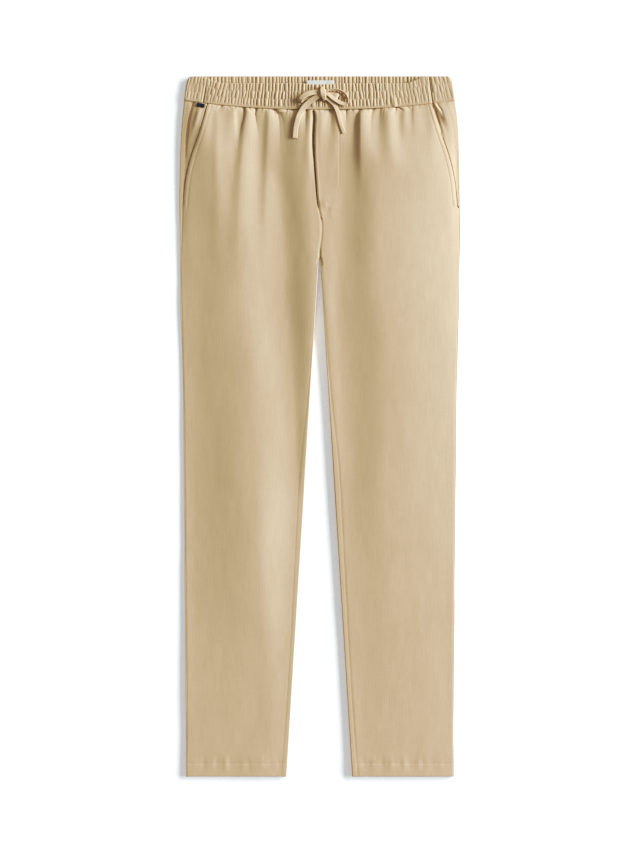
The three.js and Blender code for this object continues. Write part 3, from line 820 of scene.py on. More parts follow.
def front_panel(name, side):
    ys = evened(spaced((FLY_TOP_Y, 0), (482, 0.7), (430, 1.4), (340, 2.2), (LEGS_TOP_Y + CROTCH_STEP, 2.4),
                       (LEGS_TOP_Y, 2), (CROTCH_Y - 14, 1.4), (-480, 8), (HEM_LINE_Y + 6, 5),
                       (HEM_LINE_Y - 6, 1.2), (HEM_Y + 2, 2.6), (HEM_Y + GAP, 0.5)))
    right, left = fly_slit(ys)
    inner = np.where(ys > LEGS_TOP_Y, left if side > 0 else -right, inseam(ys) + GAP)
    seam_y = bent_end(ys)
    outer = side_seam(seam_y, side) - GAP
    outer = np.where(seam_y > POCKET_END_Y, np.minimum(outer, pocket_edge(seam_y)), outer)
    across = edge_shares(FINE_FLY if side > 0 else FINE_EDGE, outer - inner)
    x = side * (inner[:, None] + across)
    y = bent(ys, x)
    z = face(x, y) + hem_detail(x, y) + pocket_detail(x, y)
    near_crotch = ease(y, CROTCH_Y - 16, CROTCH_Y)
    crevice = 1.6 * ease(y, CROTCH_Y + 22, CROTCH_Y) * near_crotch
    if side > 0:
        z = z + fly_detail(x, y)
        groove = 0.25 + 0.65 * near_crotch + crevice
    else:
        groove = 0.08 + 0.3 * crevice
    z = z - 0.25 * bump(outer[:, None] - np.abs(x), 1.1) - groove * bump(across, 1.7)
    drop = round_off(y - (HEM_Y + GAP), 1.0)
    bottom = np.maximum(z - wall_at(y) + drop, LEAST_LINING)
    return lined_piece(name, grid(x, y, z - drop), grid(x, y, bottom), TWILL)


front_right = front_panel("front_right_cloth", -1)
front_left = front_panel("front_left_cloth", 1)


# ------------ back panels
def rolled_path(seam_x, edge_x, y, side, depth, groove):
    """A section of the back panel on the +x side of a flattened tube, from a seam on the front face round
    the rolled edge to the floor: outer and inner points as (x, z), for each y."""
    outer_points, inner_points = [], []
    wall = wall_at(y)
    flat_x = edge_x - depth
    for share in np.linspace(0, 1, 7):
        x = seam_x + (flat_x - seam_x) * share
        z = face(side * x, y) + hem_detail(side * x, y) - groove * bump(x - seam_x, 1.1)
        outer_points.append((x, z))
        inner_points.append((x, z - wall))
    half = z / 2
    for angle in np.radians(np.arange(70, -91, -20)):
        c, s = math.cos(angle), math.sin(angle)
        outer_points.append((flat_x + depth * c, half * (1 + s)))
        inner_points.append((flat_x + (depth - wall) * c, half + (half - wall) * s))
    return outer_points, inner_points


BACK_GATHERS = Pleats(12, 14, 0.45, REACH, 0.25)

# Soft creases of the back, from one end to the other: x, y, x, y, how far each spreads and its height.
BACK_CREASES = [
    (-58, 470, -122, 322, 7, 1.1),
    (52, 486, 92, 300, 8, 1.0),
    (118, 440, 140, 352, 6, 0.9),
    (-24, 262, -140, 196, 8, 1.1),
    (22, 256, 150, 214, 9, 1.0),
    (-40, 205, -112, 150, 6, 0.7),
    (-158, 26, -66, -38, 8, 0.8),
    (64, 4, 152, -62, 9, 0.8),
    (88, -300, 168, -352, 8, 0.6),
    (-150, -402, -76, -446, 7, 0.6),
]


def under_hollow(x, y):
    """How far the gathers and creases of the back lift it off the surface."""
    below = np.maximum(BAND_SEAM_Y - y, 0)
    swell = 1.5 * (1 - fade(below, 3))
    ridges = swell * BACK_GATHERS.height(x + 0.06 * below, 1) * fade(below, BACK_GATHERS.lengths(x, 14, 70))
    creases = 0
    for x0, y0, x1, y1, spread, lift in BACK_CREASES:
        way_x, way_y = x1 - x0, y1 - y0
        share = ((x - x0) * way_x + (y - y0) * way_y) / (way_x**2 + way_y**2)
        away = ((x - x0) * way_y - (y - y0) * way_x) / math.hypot(way_x, way_y)
        creases = creases + lift * bump(away, spread) * ease(share, 0, 0.3) * ease(1 - share, 0, 0.4)
    side = np.abs(x)
    beside_small_pieces = ease(side, 26, 40) * ease(172 - side, 0, 20)
    in_leg = np.where(y < CROTCH_Y, ease(side - inner_edge(y), 6, 20), ease(side, 2, 14))
    room = np.where(y > FLY_END_Y - 8, beside_small_pieces, in_leg * ease(outer_edge(y) - side, 4, 22))
    return np.minimum((ridges + creases) * room, np.maximum(face(x, y) - 2 * CLOTH - 0.1, 0))


def back_section(ys, side):
    """The whole section, outer and inner, and where the roll at the inseam starts in it."""
    wobble = 0.5 * noise(ys, 0 * ys, 60, 1, 40 + side)
    rolls = rolled_path(side_seam(ys, side), outer_edge(ys) + wobble, ys, side, ROLL_DEPTH, 0.25)
    leg_rolls = rolled_path(-inseam(ys), -inner_edge(ys), ys, -side, INNER_ROLL_DEPTH, 0.15)
    legs = []
    for roll in leg_rolls:
        leg = [(-x, z) for x, z in roll][::-1]
        leg[0] = (np.where(ys <= CROTCH_Y, leg[0][0], GAP / 2), leg[0][1])
        legs.append(leg)
    start, end = rolls[0][-1][0], legs[0][0][0]
    xs = [start + (end - start) * i / FLOOR_CELLS for i in range(1, FLOOR_CELLS)]
    floor = [(x, under_hollow(side * x, ys)) for x in xs]
    lining = [(x, z + wall_at(ys)) for x, z in floor]
    return rolls[0] + floor + legs[0], rolls[1] + lining + legs[1], len(rolls[0]) + len(floor)


def back_points(section, ys, side, turn):
    """The section at its rows, with the hem's edge turned and the rows on the front bent to the waist."""
    xs, zs = (np.stack([s[k] + 0 * ys for s in section], 1) for k in (0, 1))
    half = outline("outer_roll", ys)[:, None] / 2
    zs = np.where(zs > half, np.maximum(zs + turn[:, None], half), zs)
    on_front = ease(zs, half - 1, half + 1)
    bend = on_front * (waist_seam(xs) - BAND_SEAM_Y) * ease(ys[:, None], 470, BAND_SEAM_Y)
    return grid(side * xs, ys[:, None] + bend - GAP / 2, zs)


def back_panel(name, side):
    ys = spaced((BAND_SEAM_Y, 0), (500, 2), (340, 4), (LEGS_TOP_Y, 4), (CROTCH_Y, 2), (-480, 7),
                (HEM_LINE_Y + 6, 4), (HEM_LINE_Y - 6, 1.5), (HEM_Y + 2, 3), (HEM_Y, 0.5))
    section, lining, fold_start = back_section(ys, side)
    drop = round_off(ys - HEM_Y, 1.0)
    outer, inner = back_points(section, ys, side, -drop), back_points(lining, ys, side, drop)
    keep = np.ones((len(ys) - 1, len(section) - 1), bool)
    keep[:np.argmin(np.abs(ys - CROTCH_Y)), fold_start:] = False
    weave = grid(distances(outer), ys[:, None], 0)
    return sheet_piece(name, outer, inner, TWILL, keep, weave)


back_right = back_panel("back_right_cloth", -1)
back_left = back_panel("back_left_cloth", 1)

# ------------ pocket facings and fly shield
FACING_UNDER = 20
FLY_SHIELD_DROP = 3.4


def facing_folds(z, y, out, seam_distance, span, side):
    """The left pocket gapes a little beside two small folds, and the right one is creased at its seam."""
    if side < 0:
        room = ease(out, 0, 3) * ease(span, 4, 11)
        crease = bump(seam_distance - 0.3, 2.6) * ease(y, 400, 470)
        return z - 1.8 * crease * room + 1.3 * bump(out - 10, 4) * bump(y - 488, 24) * room
    near_folds = bump(y - 501, 9)
    gape = bump(out - 1.6, 1.8) * ease(y, 440, 476) * ease(BAND_SEAM_Y - y, 0, 8)
    ridge = bump(out - (4.4 + 4.0 * ease(y, 508, 492)), 2.2) * near_folds
    crease = bump(out - (7.0 + 4.6 * ease(y, 508, 494)), 1.4) * near_folds
    hollow = (1 - climb(out, 3.5, 15.5)) * bump(y - 483.5, 12.5)
    level = 1.2 * ease(out / np.maximum(span, 1), 0.2, 1) * ease(y, 415, 465)
    return z - 1.9 * gape * (1 - 0.8 * ridge) + 1.1 * ridge - 1.2 * crease - 3.2 * hollow + level


def facing_height(x, y, side):
    """The facing lies just under the front's edge, and meets the back panel at the side seam."""
    edge, seam = pocket_edge(y), side_seam(y, side)
    out, seam_distance = np.abs(x) - edge, seam - np.abs(x)
    step = 0.25 if side > 0 else 0.45
    under = (CLOTH + 0.25 - step) * (1 - ease(out, 0.15, 1.1))
    z = face(x, y) - step - under - 0.25 * ease(seam_distance, 0, 3)
    return np.maximum(facing_folds(z, y, out, seam_distance, seam - edge, side), LEAST_FACING)


def thin_sheet(name, x, y, z):
    return sheet_piece(name, grid(x, y, z), grid(x, y, z - THIN_CLOTH), TWILL)


def pocket_facing(name, side):
    ys = np.linspace(499.5, POCKET_END_Y + 2, 90)
    edge = pocket_edge(bent_end(ys))[:, None]
    start = edge - FACING_UNDER
    end = np.maximum(side_seam(bent_end(ys), side)[:, None] - GAP, edge + 0.5)
    x = side * (start + (end - start) * np.linspace(0, 1, 44))
    y = bent(ys, x)
    return thin_sheet(name, x, y, facing_height(x, y, side))


def fly_shield(name):
    rows, columns = np.linspace(FLY_TOP_Y - 1, FLY_END_Y - 6, 60), np.linspace(-16, 24, 26)
    y, x = np.meshgrid(rows, columns, indexing="ij")
    return thin_sheet(name, x, y, np.maximum(face(x, y) - CLOTH - FLY_SHIELD_DROP, LEAST_FACING))


facing_right = pocket_facing("pocket_facing_right_cloth", -1)
facing_left = pocket_facing("pocket_facing_left_cloth", 1)
shield = fly_shield("fly_shield_cloth")


# ------------ waistband
def band_edge(y):
    return follow(y, BAND_EDGE_Y, BAND_EDGE_X)


def band_y(x, share):
    """The place at a share of the front band's height."""
    return waist_seam(x) + share * (band_top(x) - waist_seam(x))


class Channel:
    """The gathers between two rows of stitching: the band's own comb, with its ridges a little moved."""

    def __init__(self, comb, seed, lean):
        rng = np.random.default_rng(seed)
        count = len(comb.edges)
        self.edges = np.sort(comb.edges + rng.uniform(-1.2, 1.2, count))
        self.heights = rng.uniform(0.65, 1.05, count + 1)
        self.lean = rng.uniform(-lean, lean, count)
        self.skew = rng.uniform(0.85, 1.25, count + 1)

    def height(self, u, t):
        """t runs from 0 at the lower row to 1 at the upper one."""
        edges = np.broadcast_to(self.edges, u.shape + self.edges.shape)
        moved = np.sort(edges + self.lean * (t[..., None] - 0.5), axis=-1)
        i = np.clip((moved <= u[..., None]).sum(-1), 1, len(self.edges) - 1)
        low, high = (np.take_along_axis(moved, (i + k)[..., None], -1)[..., 0] for k in (-1, 0))
        share = np.clip((u - low) / np.maximum(high - low, 0.5), 0, 1) ** self.skew[i]
        width = np.clip((high - low) / 5, 0.4, 1.1)
        return self.heights[i] * width * ((np.sin(np.pi * share) + 0.03) ** 0.5 - 0.17) / 0.85


def channels(seed, pitch, lean):
    comb = Pleats(seed, pitch, 0.2, REACH + 10)
    return [Channel(comb, seed + i + 1, lean) for i in range(len(BAND_ROWS) - 1)]


FRONT_CHANNELS = channels(50, 5.2, 1.4)
BACK_CHANNELS = channels(60, 5.6, 0.3)
PLEAT = 1.55
# The plain strip along the band's seam, as a share of its height.
BAND_STRIP = 0.085


def gathers(u, v, combs):
    """The height of the gathers over the band's body, at u along it and a share v of its height. They sink
    at each row of stitches, and less at the top edge."""
    u, v = np.broadcast_arrays(u, v)
    z = 0 * u
    for comb, low, high in zip(combs, BAND_ROWS, BAND_ROWS[1:]):
        t = (v - low) / (high - low)
        inside = (t >= 0) & (t < 1) | (v >= 1) & (high == 1)
        t = np.clip(t, 0, 1)
        way = t * (0.725 if high == 1 else 1)
        swell = 0.5 + 0.5 * np.sin(np.pi * np.clip(way, 0, 1)) ** 0.4
        z = np.where(inside, swell * (0.15 + PLEAT * comb.height(u, t)), z)
    return z


def calm(u, v):
    """The smoother places of the band, near its side folds."""
    return 1 - 0.85 * bump(u + 200, 9) * bump(v - 0.6, 0.2) - 0.75 * bump(u - 204, 8) * bump(v - 0.64, 0.15)


def splay(x, v):
    """Where a pleat that passes x starts at the top: they spread towards the seam at the sides."""
    return x - np.sign(x) * 9 * (np.abs(x) / BAND_HALF) ** 1.4 * (1 - v)


def buttonhole(x, y):
    """1 inside a buttonhole's slot."""
    inside = ease(BUTTONHOLE_HALF - np.abs(y - BUTTONHOLE_Y), -0.4, 0.6)
    return inside * sum(bump(x - place, 0.55) for place in BUTTONHOLE_X)


def band_joins(x, v):
    """The creases where the back's band meets the front's, the right one only low down."""
    drift = 1 + 0.035 * (1 - v)
    left = 1.8 * fade(np.abs(x - BAND_JOIN * drift), 1)
    return left + 1.5 * ease(v, 0.75, 0.45) * fade(np.abs(x + (BAND_JOIN + 6) * drift), 1)


def band_front_height(x, v):
    strip = ease(v, 0.4 * BAND_STRIP, 2.2 * BAND_STRIP)
    quiet = 1 - np.where(x > 0, 0.54, 0.4) * ease(np.abs(x), 75, 130)
    z = BAND_FACE + 0.6 * (1 - strip) + gathers(splay(x, v), v, FRONT_CHANNELS) * calm(x, v) * strip * quiet
    lip = 1.1 * bump(x - 116.5 - 8 * (0.2 - v), 3.2) * ease(v, 0.55, 0.3)
    z = z - 1.6 * buttonhole(x, band_y(x, v)) + lip - band_joins(x, v)
    return z + 0.25 * noise(x, v, 40, 2, 71)


def band_shares(count):
    """Rows of the band's mesh, closer at its two edges."""
    return np.concatenate([[0, 0.012], np.linspace(0.03, 0.955, count), [0.975, 0.99, 1.0]])[:, None]


def band_place(u, v, share):
    """Where u along the band and v of its height lie, and how far its edges turn. share is 1 on the front
    face and 0 on the floor."""
    on_front = ease(share, 0.5, 1)
    x = u
    for _ in range(3):
        low = BAND_SEAM_Y + (waist_seam(x) - BAND_SEAM_Y) * on_front
        high = TOP_Y + (band_top(x) - TOP_Y) * on_front
        y = low + v * (high - low)
        x = u * band_edge(y) / BAND_HALF
    return x, y, round_off(y - low, 0.5) + round_off(high - y, 0.9)


def band_weave(u, y):
    """The cloth was wider before it was gathered."""
    return grid(u * 1.7, y, 0)


def band_front(name):
    end = BAND_JOIN - 0.2
    u, v = np.linspace(-end, end, 1000)[None, :], band_shares(40)
    x, y, turn = band_place(u, v, 1)
    z = band_front_height(x, v)
    under = BAND_FACE - BAND_WALL + 0.2 * (z - BAND_FACE) + np.minimum(turn, 0.9)
    under = np.minimum(under, z - turn - 0.25)
    return lined_piece(name, grid(x, y, z - turn), grid(x, y, under), BAND, band_weave(u, y))


def band_back(name):
    """From one join round the side fold, along the floor, and round the other side to the other join."""
    flat = BAND_HALF - BAND_ROLL_DEPTH
    strip = np.linspace(BAND_JOIN + 0.2, flat, 86)
    angles = np.radians([68, 46, 24, 0, -24, -46, -68])
    floor = np.linspace(-flat, flat, 760)

    def whole(half, middle, sign):
        return np.concatenate([half, middle, sign * half[::-1]])[None, :]

    u, u_in = (
        whole(-np.concatenate([strip, flat + depth * np.cos(angles)]), floor, -1)
        for depth in (BAND_ROLL_DEPTH, BAND_ROLL_DEPTH - CLOTH)
    )
    share = whole(np.concatenate([np.ones(len(strip)), 0.5 + 0.5 * np.sin(angles)]), 0 * floor, 1)
    v = band_shares(38)
    x, y, turn = band_place(u, v, share)
    x_in = u_in * band_edge(y) / BAND_HALF
    folds = 0.62 * gathers(x, v, BACK_CHANNELS)
    upper = band_front_height(x, v) - turn
    lower = np.maximum(0.9 - 0.45 * folds, 0) + 0.6 * turn
    z = lower + (upper - lower) * share
    inside = BAND_WALL + 0.6 + 1.3 * (folds - 0.6) - turn
    z_in = inside + (upper - BAND_WALL - inside) * share
    z_in = np.where(share > 0.95, np.minimum(z_in, z - 0.3), z_in)
    z_in = np.where(share < 0.05, np.maximum(z_in, z + 0.3), z_in)
    return sheet_piece(name, grid(x, y, z), grid(x_in, y, z_in), BAND, weave=band_weave(u, y))


waistband_front = band_front("waistband_front_cloth")
waistband_back = band_back("waistband_back_cloth")


# ------------ label and tab
def patch(name, size, tilt, thickness, lift, surface, finish, cells):
    """A small flat piece of woven tape that lies on a surface, with its corners a little round."""
    low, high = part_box(name.removesuffix("_woven"))
    width, height = size
    u = np.linspace(-0.5, 0.5, cells[0])[None, :]
    v = np.linspace(-0.5, 0.5, cells[1])[:, None]
    along = u * width * (1 - 0.03 * np.abs(2 * v) ** 8)
    c, s = math.cos(math.radians(tilt)), math.sin(math.radians(tilt))
    x = (low.x + high.x) / 2 / MM + along * c - v * height * s
    y = (low.y + high.y) / 2 / MM + along * s + v * height * c
    z = surface(x, y) + lift
    to_edge = np.minimum((0.5 - np.abs(u)) * width, (0.5 - np.abs(v)) * height)
    ribs = 0.05 * np.sin(v * height * 6)
    top = z + thickness - round_off(to_edge, 0.25) + ribs
    return sheet_piece(name, grid(x, y, top), grid(x, y, z), finish)


def label_surface(x, y):
    """Just above the inside of the back's band."""
    return BAND_WALL + 2.6 + 0.25 * noise(x, y, 9, 30, 81)


LABEL_SIZE = (44, 22)
label = patch("waist_label_woven", LABEL_SIZE, 0, 0.5, 0, label_surface, LABEL_WEAVE, (36, 18))
tab = patch("pocket_tab_woven", (12, 6), -12, 0.7, 0.3, face, TAB_WEAVE, (24, 12))


# ------------ drawstring
TAPE_WIDTH = 8.5
TAPE_THICKNESS = 1.3
TAPE_SIDES = 20
STRING_CLEAR = 0.8
STRING_PARTS = ("stem", "loop", "tail")
# Routes of the two halves: x, y, height over what lies below, the turn of the tape about its own line in
# degrees, and the share of its width that shows there.
STRING_LEFT = {
    "stem": [(29.5, 517, -0.6, 0, 1), (27, 518, 1.2, 0, 1), (20, 519.4, 1.2, 0, 1), (12, 520.4, 1.4, 0, 0.8),
             (6, 521, 2.2, 0, 0.6)],
    "loop": [(6, 524.6, 3.2, 20, 0.5), (12, 526.6, 3.2, 36, 0.45), (19, 527.7, 2.6, 40, 0.45),
             (28, 527.6, 2.2, 40, 0.45), (36.6, 524.2, 2.0, 40, 0.45), (42.6, 517.4, 1.9, 36, 0.45),
             (44.2, 510.4, 1.8, 30, 0.5), (42, 505.8, 1.8, 20, 0.6), (37, 505.6, 1.9, 14, 0.7),
             (30, 508.6, 2.2, 12, 0.75), (21.2, 514.2, 2.8, 12, 0.75), (12, 520.6, 3.6, 12, 0.65)],
    "tail": [(8, 516, 2.8, 0, 0.65), (12.5, 513.4, 1.9, -6, 0.7), (18.4, 509.4, 1.0, -10, 0.8),
             (24.4, 502.4, 1.0, -10, 0.8), (28.6, 492, 0.9, -8, 0.78), (31.8, 480, 0.9, -7, 0.76),
             (35.0, 468.6, 0.9, -6, 0.72), (38.4, 459.4, 0.9, -5, 0.66)],
}
STRING_RIGHT = {
    "stem": [(-25.5, 517, -0.6, 0, 1), (-22, 518, 1.0, 0, 1), (-14, 519.4, 1.0, 0, 1),
             (-6, 520.6, 1.2, 0, 0.8), (0, 521.2, 2.0, 0, 0.6)],
    "loop": [(2, 524.2, 3.0, 0, 0.65), (-4.5, 524.0, 3.2, 12, 0.9), (-12.6, 522.9, 3.8, 16, 1.05),
             (-19, 520.9, 4.6, 16, 1.05), (-25, 517.2, 5.4, 12, 1.0), (-29.4, 512.4, 5.6, 6, 0.9),
             (-31.4, 509.6, 3.8, 2, 0.9), (-30.0, 510.7, 1.7, 0, 0.9), (-24, 514.4, 1.1, 0, 0.9),
             (-16, 516.6, 1.1, 0, 0.9), (-6, 518.6, 1.6, 0, 0.7)],
    "tail": [(2.4, 519.4, 3.4, 0, 0.7), (-1.6, 517.8, 3.6, -4, 0.8), (-7.7, 514.2, 3.0, -8, 0.95),
             (-13.7, 510.3, 2.4, -9, 1.0), (-19.6, 505.4, 1.9, -9, 1.0), (-25.8, 498.6, 1.5, -9, 1.0),
             (-30.4, 491, 1.2, -9, 0.97), (-33.9, 482, 1.0, -8, 0.95), (-36.9, 468.9, 0.9, -7, 0.92),
             (-38.6, 452, 0.9, -5, 0.9)],
}

# The wrap of the knot, from a fold at its top to a point below: x, y, z and turn; and its widths and
# thicknesses at shares of its length.
KNOT_ROUTE = [(3.8, 533.0, 7.6, 0), (4.4, 530.6, 9.4, -8), (5.0, 526.5, 11.4, -10), (5.6, 521.5, 12.0, -6),
              (6.2, 516.6, 11.4, 4), (6.9, 512.6, 10.0, 8), (7.4, 510.4, 8.4, 8)]
KNOT_WIDTHS = [(0, 3.4), (0.12, 6.6), (0.35, 10.2), (0.6, 9.2), (0.85, 5.0), (1, 1.4)]
KNOT_THICKNESSES = [(0, 1.6), (0.3, 3.4), (0.7, 3.2), (1, 1.2)]


def under_string(x, y):
    """What the string lies on: the band, and below its seam the front."""
    below, band = face(x, y), BAND_FACE + 1.5
    above = y - waist_seam(x)
    return np.where(above > 0, band, below + (band - below) * ease(above, -5, 0))


def spline(points, step):
    """A smooth run through given points, at an even step."""
    points = np.asarray(points, float)
    padded = np.concatenate([[2 * points[0] - points[1]], points, [2 * points[-1] - points[-2]]])
    t = np.linspace(0, 1, 24, endpoint=False)[:, None]
    runs = [
        0.5 * (2 * b + (c - a) * t + (2 * a - 5 * b + 4 * c - d) * t**2 + (3 * b - a - 3 * c + d) * t**3)
        for a, b, c, d in zip(padded, padded[1:], padded[2:], padded[3:])
    ]
    fine = np.concatenate(runs + [points[-1:]])
    lengths = distances(fine[:, :3])
    at = np.linspace(0, lengths[-1], max(3, round(lengths[-1] / step)))
    return np.stack([np.interp(at, lengths, values) for values in fine.T], 1)


def tape_section(width, thickness):
    """A flat woven tape with a fuller selvedge along both edges."""
    angle = np.arange(TAPE_SIDES) / TAPE_SIDES * 2 * np.pi
    c, s = np.cos(angle), np.sin(angle)
    across = np.sign(c) * np.abs(c) ** 0.7
    up = np.sign(s) * np.abs(s) ** 0.55 * (1 + 0.25 * bump(np.abs(across) - 0.78, 0.12))
    return across * width / 2, up * thickness / 2


def level_across(tangent):
    """The level direction across a run at each point, carried on where the run is steep."""
    level = np.cross([0, 0, 1.0], tangent)
    size = np.linalg.norm(level, axis=1)
    level /= np.maximum(size, 0.01)[:, None]
    across = [level[0]]
    for t, side, share in zip(tangent, level, np.clip((size - 0.5) / 0.4, 0, 1)):
        carried = across[-1] - t * np.dot(across[-1], t)
        side = side if np.dot(side, carried) > 0 else -side
        across.append(unit(unit(carried) * (1 - share) + side * share))
    return np.array(across[1:])


def tape_piece(name, points, turns, widths, thicknesses, weave=None, nodes=None):
    """A tape swept along a run of points, turned about its own line by so many degrees."""
    tangent = unit(np.gradient(points, axis=0))
    across = level_across(tangent)
    up = np.cross(tangent, across)
    c, s = np.cos(np.radians(turns))[:, None], np.sin(np.radians(turns))[:, None]
    across, up = across * c + up * s, up * c - across * s
    rings = []
    for point, a, u, width, thickness in zip(points, across, up, widths, thicknesses):
        offset, rise = tape_section(width, thickness)
        rings.append(point + offset[:, None] * a + rise[:, None] * u)
    rings = np.concatenate(rings)
    weave = flat_weave(rings) if weave is None else weave
    return piece(name, rings, tube_faces(len(points), TAPE_SIDES), TAPE, weave, nodes, 60)


def string_piece(side, route, seed):
    line = np.concatenate([np.array(route[part], float) for part in STRING_PARTS])
    line[:, 2] += under_string(line[:, 0], line[:, 1])
    line = spline(line, 1.0)
    points, share = line[:, :3], line[:, 4]
    lowest = under_string(points[:, 0], points[:, 1]) + STRING_CLEAR
    lowest[:7] = -np.inf  # where it comes out of its buttonhole
    points[:, 2] = np.maximum(points[:, 2], lowest)
    along = np.arange(len(points))
    turns = line[:, 3] + 3 * noise(along, 0 * along, 14, 1, seed)
    widths = TAPE_WIDTH * share * (1 + 0.03 * noise(along, 0 * along, 18, 1, seed + 1))
    across = tape_section(TAPE_WIDTH, TAPE_THICKNESS)[0]
    weave = as_list(grid(across[None, :], along[:, None], 0))
    nodes = [f"drawstring_{part}_{side}" for part in STRING_PARTS]
    thicknesses = TAPE_THICKNESS * (1.6 - 0.6 * share)
    obj = tape_piece(f"drawstring_{side}_tape", points, turns, widths, thicknesses, weave, nodes)
    return obj


def knot_piece(name):
    """The wrap of the bow: a strap over the crossing strands."""
    line = spline(KNOT_ROUTE, 0.8)
    t = np.linspace(0, 1, len(line))
    widths, thicknesses = (np.interp(t, *zip(*places)) for places in (KNOT_WIDTHS, KNOT_THICKNESSES))
    return tape_piece(name, line[:, :3], line[:, 3], widths, thicknesses)


string_left = string_piece("left", STRING_LEFT, 90)
string_right = string_piece("right", STRING_RIGHT, 95)
knot = knot_piece("drawstring_knot_tape")


# ------------ stitching
class Stitches:
    """Short rounded stitches in one mesh, laid along lines on the cloth."""

    SIDES = 5
    LENGTH, PITCH, RADIUS = 2.1, 3.0, 0.3
    # Each ring: its place along the stitch, its size, and how far it sinks in.
    RINGS = ((-0.5, 0.35, 0.3), (-0.22, 1, 0), (0.22, 1, 0), (0.5, 0.35, 0.3))

    def __init__(self):
        self.vertices, self.faces = [], []

    def add(self, low, high, length, up=(0, 0, 1)):
        """A stitch in the middle of two points on the cloth."""
        direction = unit(high - low)
        up = unit(up - direction * np.dot(up, direction))
        across = np.cross(up, direction)
        faces = tube_faces(len(self.RINGS), self.SIDES, len(self.vertices))
        self.faces += [face[:1] + face[:0:-1] for face in faces]  # turned outwards
        for along, size, sink in self.RINGS:
            centre = (low + high) / 2 + direction * length * along - up * sink * self.RADIUS
            for angle in np.arange(self.SIDES) / self.SIDES * 2 * np.pi:
                offset = across * math.cos(angle) * 0.9 + up * math.sin(angle) * 0.8
                self.vertices.append(centre + offset * self.RADIUS * size)

    def along(self, points, up=(0, 0, 1)):
        """Stitches along a run of points on the cloth."""
        lengths = distances(points)
        for at in np.arange(self.PITCH / 2, lengths[-1] - self.LENGTH / 2, self.PITCH):
            ends = [np.interp([at - 0.8, at + 0.8], lengths, values) for values in points.T]
            self.add(*np.transpose(ends), self.LENGTH, up)

    def bar(self, surface, start, end, width, pitch=0.7):
        """Satin stitches side by side across a line on the cloth, as in a bartack or round a buttonhole."""
        start, end = np.array(start, float), np.array(end, float)
        way = unit(end - start)
        across = np.array([-way[1], way[0]]) * width / 2
        for share in np.linspace(0, 1, max(2, round(np.linalg.norm(end - start) / pitch))):
            place = start + (end - start) * share
            ends = [np.array([x, y, float(surface(x, y)) + STITCH_LIFT])
                    for x, y in (place - across, place + across)]
            self.add(*ends, width)


def over_front(x, y, detail):
    return grid(x, y, face(x, y) + detail + STITCH_LIFT)


def hem_line(side):
    """Along the front face from the outer edge to the inseam, in the stitch groove."""
    edges = outer_edge(HEM_LINE_Y) - ROLL_DEPTH, inner_edge(HEM_LINE_Y) + ROLL_DEPTH
    x = np.linspace(*edges, 140) * side
    return over_front(x, HEM_LINE_Y, hem_detail(x, HEM_LINE_Y))


def hem_line_below(side):
    x = np.linspace(outer_edge(HEM_LINE_Y) - 3, inner_edge(HEM_LINE_Y) + 3, 60) * side
    return grid(x, HEM_LINE_Y, STITCH_LIFT)


def pocket_line(side):
    y = np.linspace(494, POCKET_END_Y + 3, 120)
    x = side * (pocket_edge(y) - POCKET_STITCH)
    return over_front(x, y, pocket_detail(x, y))


def fly_line():
    y = np.linspace(FLY_TOP_Y - 2, FLY_FOOT_Y + 1, 160)
    x = fly_stitch_x(y)
    return over_front(x, y, fly_detail(x, y))


def on_band(x, y):
    return band_front_height(x, (y - waist_seam(x)) / (band_top(x) - waist_seam(x)))


def band_row(share):
    """A row of the stitching that holds the elastic, over the gathers."""
    x = np.linspace(-BAND_JOIN + 6, BAND_JOIN - 6, 700)
    return grid(x, band_y(x, share), band_front_height(x, share + 0 * x) + 0.1)


FLY_BARTACK = ((3.6, 329), (5.6, 324), 3.2)


def bars(stitches):
    """The buttonholes' edges, and the bartacks at the foot of the fly and of each pocket."""
    low, high = BUTTONHOLE_Y - BUTTONHOLE_HALF, BUTTONHOLE_Y + BUTTONHOLE_HALF
    for place in BUTTONHOLE_X:
        for x in (place - BUTTONHOLE_EDGE, place + BUTTONHOLE_EDGE):
            stitches.bar(on_band, (x, low), (x, high), BUTTONHOLE_EDGE)
    stitches.bar(face, *FLY_BARTACK)
    foot = pocket_edge(POCKET_END_Y + 6)
    for side in (-1, 1):
        start, end = (side * (foot - 3.4), POCKET_END_Y + 3), (side * (foot - 3.8), POCKET_END_Y + 12)
        stitches.bar(face, start, end, 2.2)


def stitching(name):
    stitches = Stitches()
    for share in BAND_ROWS[1:3]:
        stitches.along(band_row(share))
    bars(stitches)
    for side in (-1, 1):
        stitches.along(hem_line(side))
        stitches.along(hem_line_below(side), (0, 0, -1))
        stitches.along(pocket_line(side))
    stitches.along(fly_line())
    return piece(name, stitches.vertices, stitches.faces, THREAD, None, [], 80)


stitches = stitching("topstitching")

# ------------ camera, light and floor
# The camera looks straight down at a frame of this height and middle, at the level of the cloth.
IMAGE_HEIGHT, MM_PER_PIXEL = 853, 1.5703
FRAME_X, FRAME_Y, FRAME_LEVEL = 0.8, -0.4, 4
# The key light and the floor are in metres. The floor lies a little lower than the cloth.
KEY_SIZE = (10, 2.8)
KEY_DISTANCE, KEY_ELEVATION, KEY_BEARING = 12.0, math.radians(20), math.radians(16)
KEY_POWER, KEY_COLOUR = 3100, (0.93, 1.0, 1.14)
FILL_STRENGTH, FILL_COLOUR = 0.36, (1, 0.94, 0.80, 1)
FLOOR_HALF, FLOOR_Z = 14, -0.0003
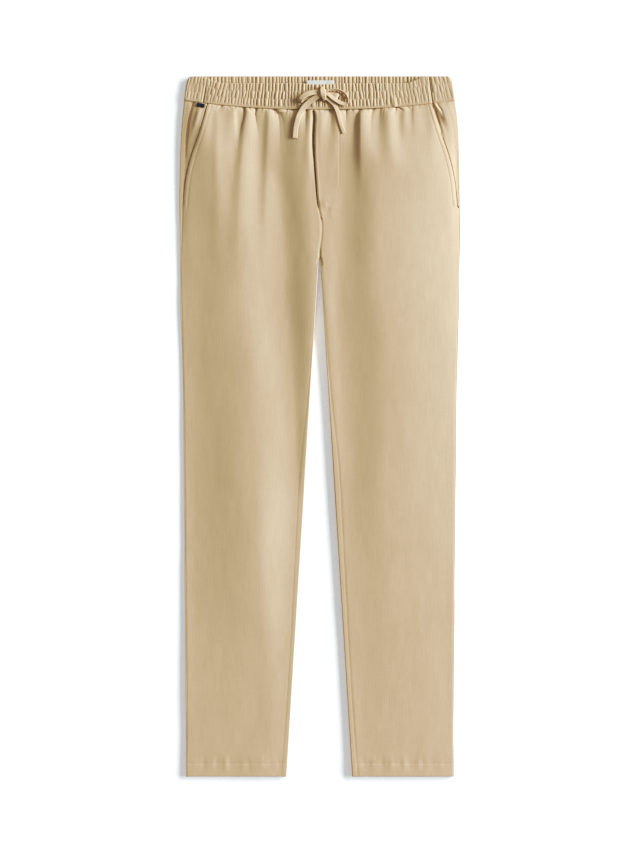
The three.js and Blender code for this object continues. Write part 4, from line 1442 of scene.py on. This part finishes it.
# A gentle film response, as (light in, light out) for all colours, and for its less warm bright parts.
FILM = [(0.1, 0.062), (0.2, 0.163), (0.3, 0.29), (0.4, 0.405), (0.48, 0.495), (0.6, 0.62), (0.75, 0.76)]
FILM_GREEN = [(0.2, 0.2), (0.36, 0.37), (0.48, 0.49), (0.53, 0.555), (0.6, 0.645), (0.8, 0.83)]
FILM_BLUE = [(0.1, 0.1), (0.2, 0.198), (0.29, 0.295), (0.34, 0.37), (0.38, 0.43), (0.5, 0.56), (0.75, 0.8)]


def make_camera():
    data = bpy.data.cameras.new("camera")
    data.lens, data.sensor_width = 100, 36
    camera = placed("camera", data)
    distance = IMAGE_HEIGHT * MM_PER_PIXEL * data.lens / data.sensor_width
    camera.location = (FRAME_X * MM, FRAME_Y * MM, (distance + FRAME_LEVEL) * MM)
    bpy.context.scene.camera = camera


def set_film():
    view = bpy.context.scene.view_settings
    view.view_transform = "Standard"
    view.use_curve_mapping = True
    mapping = view.curve_mapping
    mapping.use_clip = False
    for curve, levels in ((3, FILM), (1, FILM_GREEN), (2, FILM_BLUE)):
        points = mapping.curves[curve].points
        points[0].location, points[1].location = (0, 0), (1, 1)
        for level in levels:
            points.new(*level)
    mapping.update()


def make_light():
    """A wide low key light from the wearer's left, and a warm fill from all round."""
    world = bpy.data.worlds.new("studio")
    bpy.context.scene.world = world
    world.use_nodes = True
    background = world.node_tree.nodes["Background"].inputs
    background["Color"].default_value = FILL_COLOUR
    background["Strength"].default_value = FILL_STRENGTH
    data = bpy.data.lights.new("key", "AREA")
    data.shape = "RECTANGLE"
    data.size, data.size_y = KEY_SIZE
    data.energy = KEY_POWER
    data.color = KEY_COLOUR
    key = placed("key", data)
    away, height = KEY_DISTANCE * math.cos(KEY_ELEVATION), KEY_DISTANCE * math.sin(KEY_ELEVATION)
    key.location = (away * math.cos(KEY_BEARING), away * math.sin(KEY_BEARING), height)
    key.rotation_euler = (-key.location).to_track_quat("-Z", "Y").to_euler()


def make_floor():
    mesh = bpy.data.meshes.new("floor")
    corners = [(FLOOR_HALF * x, FLOOR_HALF * y, 0) for x, y in ((-1, -1), (1, -1), (1, 1), (-1, 1))]
    mesh.from_pydata(corners, [], [(0, 1, 2, 3)])
    n = Nodes("floor")
    n.shade(Base_Color=(0.88, 0.88, 0.88, 1), Roughness=0.9, Specular_IOR_Level=0.0)
    n.shade(Emission_Color=(1.0, 1.0, 1.03, 1), Emission_Strength=0.23)
    mesh.materials.append(n.material)
    floor = placed("floor", mesh)
    floor.location.z = FLOOR_Z


make_camera()
set_film()
make_light()
make_floor()
